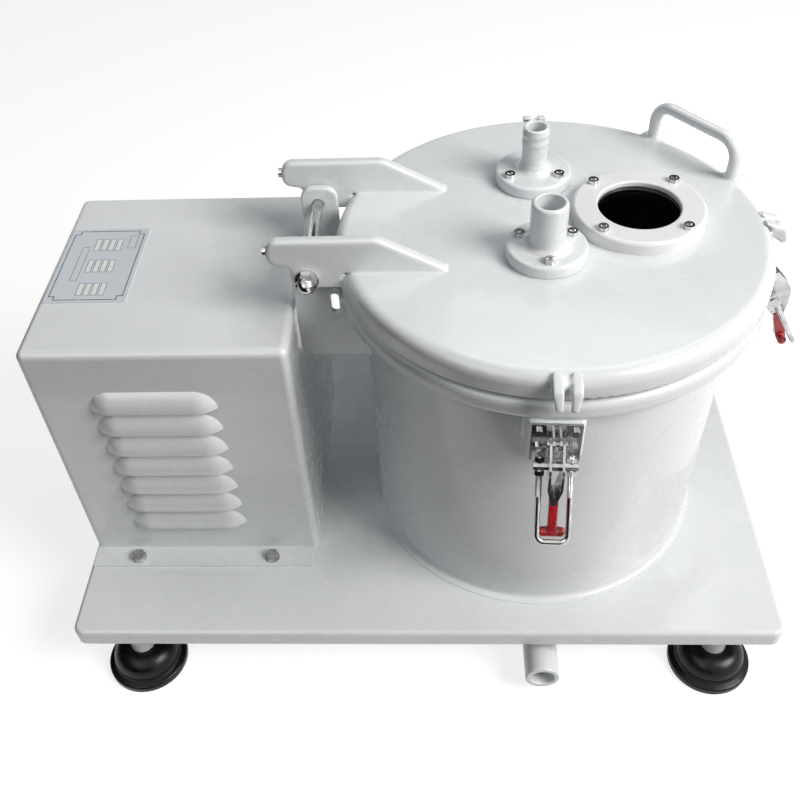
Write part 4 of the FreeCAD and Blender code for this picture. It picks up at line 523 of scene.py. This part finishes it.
def add_lid_plate():
    """The lid, its edge drawn soft by the coat."""
    bm = solid_copy("lid_plate")
    soften_lid_rim(bm)
    lid = add_piece("lid_plate_dipped", bm, COATING, "lid", ["lid_plate"], 40)
    flat = lid.modifiers.new("flat_top", "WEIGHTED_NORMAL")
    flat.weight = 100
    flat.keep_sharp = True


def add_lid_forks():
    """The forks' claws, melted into the lid's rim by the coat, with a web of weld between each
    pair."""
    half_angle, bed_reach, web_root = 5, 26 * MM, LID_RADIUS - 12 * MM
    bm = solid_copy("lid_forks")
    turns = sorted(angle_of(shell) for shell in islands(bm))
    for turn in turns:
        lid_bed(bm, turn - half_angle, turn + half_angle, LID_RADIUS - bed_reach)
    for first, second in zip(turns[::2], turns[1::2]):
        web = quarter(5 * MM, LID_RADIUS, LID_TOP - 7 * MM, 0)
        web += [(web_root, LID_TOP - 2 * MM), (web_root, LID_TOP - 13 * MM)]
        web.append((LID_RADIUS + 3 * MM, LID_TOP - 11 * MM))
        spun_sector(bm, web, first, second)
    skin = flow_together(bm, 0.8 * MM, 20)
    add_piece("lid_fork_welds", skin, COATING, "lid", ["lid_forks"], 60)


def add_lid_arms():
    """The hinge arms, their welds to the lid drowned in the coat."""
    near_share, far_share, inner = 0.45, 2.4, 84 * MM
    bm = solid_copy("lid_arms")
    for turn in [angle_of(shell) % 360 for shell in islands(bm)]:
        away = 180 - turn
        near, far = sorted((180 - away * near_share, 180 - away * far_share))
        lid_bed(bm, near, far, inner)
    skin = flow_together(bm, 1.1 * MM, 7)
    add_piece("lid_arm_welds", skin, COATING, "lid", ["lid_arms"], 60)


def add_lid_handle():
    """The handle, with the flared welds at its feet."""
    leg_radius, weld, half_angle, bed_reach = 6 * MM, 8 * MM, 21, 36 * MM
    bm = solid_copy("lid_handle")
    feet = [v.co.copy() for v in bm.verts if v.co.z < LID_TOP + 0.5 * MM]
    along = max(feet, key=lambda p: p.y) - min(feet, key=lambda p: p.y)
    centre = sum(feet, Vector()) / len(feet)
    for way in (-1, 1):
        leg = [p for p in feet if way * (p - centre).dot(along) > 0]
        weld_ring(bm, sum(leg, Vector()) / len(leg), leg_radius, weld, LID_TOP - COAT)
    turn = math.degrees(math.atan2(centre.y - DRUM.y, centre.x - DRUM.x))
    lid_bed(bm, turn - half_angle, turn + half_angle, LID_RADIUS - bed_reach)
    skin = flow_together(bm, 1.1 * MM, 6)
    add_piece("lid_handle_welds", skin, COATING, "lid", ["lid_handle"], 60)


def add_nozzles():
    """The hose nozzles: a pipe welded on a flange and dipped, so that its foot flares."""
    flange_thick, sunk = 12 * MM, 0.2 * MM
    flange_top = LID_TOP + flange_thick
    for node, pipe, weld in (("feed_nozzle", 17, 9), ("wash_nozzle", 13.5, 8)):
        bm = solid_copy(node)
        weld_ring(bm, middle(node), pipe * MM, weld * MM, flange_top - sunk)
        skin = flow_together(bm, 0.8 * MM, 7)
        add_piece(node + "_dipped", skin, COATING, "lid", [node], 60)


def add_latch_pads():
    """The pads behind the latches, melted into the casing's wall and its flange."""
    half_angle, depth = 14, 62 * MM
    bm = solid_copy("latch_pads")
    for turn in [angle_of(shell) for shell in islands(bm)]:
        casing_bed(bm, turn - half_angle, turn + half_angle, FLANGE_LOW - depth)
    skin = flow_together(bm, 1.2 * MM, 9)
    add_piece("latch_pad_welds", skin, COATING, "root", ["latch_pads"], 60)


def add_hinge_ears():
    """The hinge's ears, melted into the casing's wall."""
    half_angle, depth = 9, 72 * MM
    bm = solid_copy("hinge_ears")
    for turn in [angle_of(shell) % 360 for shell in islands(bm)]:
        casing_bed(bm, turn - half_angle, turn + half_angle, FLANGE_LOW - depth)
    skin = flow_together(bm, 1.0 * MM, 5)
    add_piece("hinge_ear_welds", skin, COATING, "root", ["hinge_ears"], 60)


def add_drain():
    """The drain pipe, its lip softened by the coat."""
    skin = flow_together(solid_copy("drain_pipe"), 1.0 * MM, 6)
    add_piece("drain_pipe_dipped", skin, COATING, "root", ["drain_pipe"], 60)


def add_grips():
    """The levers' grips: a T dipped in vinyl, its ends drawn to soft lobes."""
    for side in SIDES:
        node = "latch_grip_" + side
        skin = flow_together(solid_copy(node), 0.45 * MM, 6)
        add_piece(f"grip_{side}_dipped", skin, VINYL, "lever_" + side, [node], 60)


def add_block(bm, low, high):
    """A box between two opposite corners."""
    block = bmesh.ops.create_cube(bm, size=1)["verts"]
    bmesh.ops.scale(bm, vec=Vector(high) - Vector(low), verts=block)
    bmesh.ops.translate(bm, vec=(Vector(low) + Vector(high)) / 2, verts=block)


def add_nameplate_rules():
    """The nameplate's etched border, notched at its corners, and the ruled boxes inside."""
    low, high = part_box("nameplate")
    wide, long = high.x - low.x, high.y - low.y
    edge, notch, border, thin = 4 * MM, 5.5 * MM, 1.0 * MM, 0.5 * MM
    sunk, ink_height, field_height = 0.1 * MM, 0.04 * MM, 0.03 * MM
    bm = bmesh.new()

    def rule(x0, y0, x1, y1, broad=thin):
        ends = [(low.x + x, low.y + y) for x, y in ((x0, y0), (x1, y1))]
        (left, right), (near, far) = (sorted(pair) for pair in zip(*ends))
        half = broad / 2
        add_block(bm, (left - half, near - half, high.z - sunk),
                  (right + half, far + half, high.z + ink_height))

    def frame_of(x0, y0, x1, y1, broad=thin):
        for x in (x0, x1):
            rule(x, y0, x, y1, broad)
        for y in (y0, y1):
            rule(x0, y, x1, y, broad)

    for side in (edge, wide - edge):
        rule(side, edge + notch, side, long - edge - notch, border)
    for side in (edge, long - edge):
        rule(edge + notch, side, wide - edge - notch, side, border)
    for x, inward_x in ((edge, 1), (wide - edge, -1)):
        for y, inward_y in ((edge, 1), (long - edge, -1)):
            bend_x, bend_y = x + inward_x * notch, y + inward_y * notch
            rule(x, bend_y, bend_x, bend_y, border)
            rule(bend_x, y, bend_x, bend_y, border)
    left, pitch, gap, inset = 30 * MM, 7.5 * MM, 2 * MM, 0.4 * MM
    rows = ((11 * MM, 30 * MM), (48 * MM, 68 * MM), (84 * MM, 104 * MM))
    fields = bmesh.new()
    for column in range(4):
        x = left + column * pitch
        for near, far in rows:
            frame_of(x, near, x + pitch - gap, far)
            add_block(fields, (low.x + x + inset, low.y + near + inset, high.z - sunk),
                      (low.x + x + pitch - gap - inset, low.y + far - inset, high.z + field_height))
    add_piece("nameplate_fields", fields, BARE_FIELD, "root")
    frame_of(left - 12 * MM, 34 * MM, left - 5 * MM, 90 * MM)
    frame_of(wide - 17 * MM, 88 * MM, wide - 9 * MM, 110 * MM)
    add_piece("nameplate_rules", bm, INK, "root")


def add_bolt_threads():
    """The rolled threads on the U bolts' legs, beside their nuts."""
    pitch, core, crest = 1.0 * MM, 2.45 * MM, 2.95 * MM
    start, turns, half, lean = 8 * MM, 20, 13.5 * MM, math.radians(150)
    outline = [(core, start)]
    for i in range(turns):
        outline += [(crest, start + (i + 0.5) * pitch), (core, start + (i + 1) * pitch)]
    for side in SIDES:
        origin = pivot_of(f"u_bolt_{side}_swing")
        turn = Matrix.Rotation(math.atan2(origin.y - DRUM.y, origin.x - DRUM.x), 4, "Z")
        stand = Matrix.Translation(origin) @ turn @ Matrix.Rotation(lean, 4, "Y")
        bm = bmesh.new()
        for way in (-1, 1):
            line = [bm.verts.new((r, way * half, z)) for r, z in outline]
            edges = [bm.edges.new(pair) for pair in zip(line, line[1:])]
            bmesh.ops.spin(bm, geom=line + edges, cent=(0, way * half, 0), axis=(0, 0, 1),
                           angle=math.tau, steps=20, use_merge=True)
        bmesh.ops.recalc_face_normals(bm, faces=bm.faces)
        bmesh.ops.transform(bm, matrix=stand, verts=bm.verts)
        add_piece(f"bolt_threads_{side}", bm, BRIGHT, "u_bolt_" + side, (), 20)


def add_pieces():
    add_lid_plate()
    add_lid_forks()
    add_lid_arms()
    add_lid_handle()
    add_nozzles()
    add_latch_pads()
    add_hinge_ears()
    add_drain()
    add_grips()
    add_nameplate_rules()
    add_bolt_threads()


# ---------------------------------------------------------------- stage

ROOM_LIGHT = 0.05
FLOOR_LIFT = 0.78
CAMERA_PLACE = (0.0215, -0.7509, 0.9746)
CAMERA_TURNS = (3.57, 45.47, -3.09)
LENS = 42.58
# Name, place, aim, side in metres, watts and colour.
LAMPS = (
    ("window", (2.3, -1.15, 2.3), (0.05, 0, 0.3), 1.6, 120, "FFFDF9"),
    ("door", (-1.27, -1.88, 2.23), (-0.1, 0, 0.3), 1.6, 13, "FBFDFF"),
    ("ceiling", (0.28, 0.4, 1.3), (0.15, 0.05, 0.4), 0.7, 3.4, "FBFDFF"),
)


def make_camera():
    """Stands in front, looking down, turned a little to the left and leaning a little."""
    yaw, pitch, roll = (math.radians(a) for a in CAMERA_TURNS)
    data = bpy.data.cameras.new("camera")
    data.lens = LENS
    camera = bpy.data.objects.new("camera", data)
    bpy.context.scene.collection.objects.link(camera)
    turn = Matrix.Rotation(yaw, 4, "Z") @ Matrix.Rotation(math.pi / 2 - pitch, 4, "X")
    place = Matrix.Translation(CAMERA_PLACE)
    camera.matrix_world = place @ turn @ Matrix.Rotation(roll, 4, "Z")
    bpy.context.scene.camera = camera


def make_lamp(name, at, towards, size, watts, colour):
    """A square soft lamp, aimed at a point."""
    data = bpy.data.lights.new(name, "AREA")
    data.shape = "SQUARE"
    data.size = size
    data.energy = watts
    data.color = linear(colour)[:3]
    lamp = bpy.data.objects.new(name, data)
    lamp.location = at
    lamp.rotation_euler = (Vector(towards) - Vector(at)).to_track_quat("-Z", "Y").to_euler()
    bpy.context.scene.collection.objects.link(lamp)


def background_share(tree):
    """1 for rays from the camera, and for those that mirrors and glass pass on."""
    rays = add(tree, "LightPath").outputs
    first = add(tree, "Math", {0: rays["Is Camera Ray"], 1: rays["Is Glossy Ray"]}, operation="MAXIMUM")
    both = {0: first.outputs["Value"], 1: rays["Is Transmission Ray"]}
    return add(tree, "Math", both, operation="MAXIMUM").outputs["Value"]


def make_world():
    """A dim room, white only to the rays that see the background."""
    world = bpy.data.worlds.new("studio")
    bpy.context.scene.world = world
    world.use_nodes = True
    tree = world.node_tree
    tree.nodes.clear()
    light = add(tree, "Background", {"Color": linear("F6F7F8"), "Strength": ROOM_LIGHT})
    white = add(tree, "Background", {"Color": linear("FFFFFF"), "Strength": 1.0})
    mix = add(tree, "MixShader", {0: background_share(tree), 1: light.outputs[0], 2: white.outputs[0]})
    add(tree, "OutputWorld", {"Surface": mix.outputs[0]})


def stage_sheet(name, material, corners):
    """A flat sheet of the stage, from its four corners."""
    bm = bmesh.new()
    bm.faces.new([bm.verts.new(corner) for corner in corners])
    mesh = bpy.data.meshes.new(name)
    bm.to_mesh(mesh)
    bm.free()
    mesh.materials.append(material)
    sheet = bpy.data.objects.new(name, mesh)
    bpy.context.scene.collection.objects.link(sheet)
    return sheet


def make_floor():
    """A pale floor that shows white and keeps the shadow."""
    material, tree, shader = new_material("studio_paper", Roughness=0.9)
    shader.inputs["Base Color"].default_value = linear("A8A8A8")
    shader.inputs["Specular IOR Level"].default_value = 0.0
    glow = add(tree, "Emission", {"Color": linear("FFFFFF")})
    lift = add(tree, "Math", {0: background_share(tree), 1: FLOOR_LIFT}, operation="MULTIPLY")
    tree.links.new(lift.outputs["Value"], glow.inputs["Strength"])
    both = add(tree, "AddShader", {0: shader.outputs[0], 1: glow.outputs[0]})
    output = next(n for n in tree.nodes if n.type == "OUTPUT_MATERIAL")
    tree.links.new(both.outputs[0], output.inputs["Surface"])
    stage_sheet("floor", material, [(-12, -12, 0), (12, -12, 0), (12, 12, 0), (-12, 12, 0)])


def make_flags():
    """Dark cloths round the object, out of the picture. The camera doesn't see them and they
    cast no shadow of the lamps. Bright metal, glass and the glossy coat mirror them, and they
    keep the room's light off the left."""
    material, tree, shader = new_material("black_cloth", Roughness=1.0)
    shader.inputs["Base Color"].default_value = linear("1E1F20")
    shader.inputs["Specular IOR Level"].default_value = 0.0
    left, front, low, back = -1.25, -1.9, 0.03, 1.7
    sheets = (
        ("flag_left", [(left, front, 0), (left, 0.9, 0), (left, 0.9, 1.3), (left, front, 1.3)]),
        ("flag_front", [(left, front, 0), (0.4, front, 0), (0.4, front, 0.9), (left, front, 0.9)]),
        ("flag_low", [(left, front, low), (0.2, front, low), (0.2, -0.42, low), (left, -0.42, low)]),
        ("flag_back", [(-0.7, back, 0.8), (1.7, back, 0.8), (1.7, back, 2.3), (-0.7, back, 2.3)]),
    )
    for name, corners in sheets:
        sheet = stage_sheet(name, material, corners)
        sheet.visible_camera = False
        sheet.visible_shadow = False


def make_stage():
    bpy.context.scene.view_settings.view_transform = "Standard"
    make_camera()
    make_world()
    make_floor()
    make_flags()
    for lamp in LAMPS:
        make_lamp(*lamp)


dress_solids()
add_pieces()
make_stage()
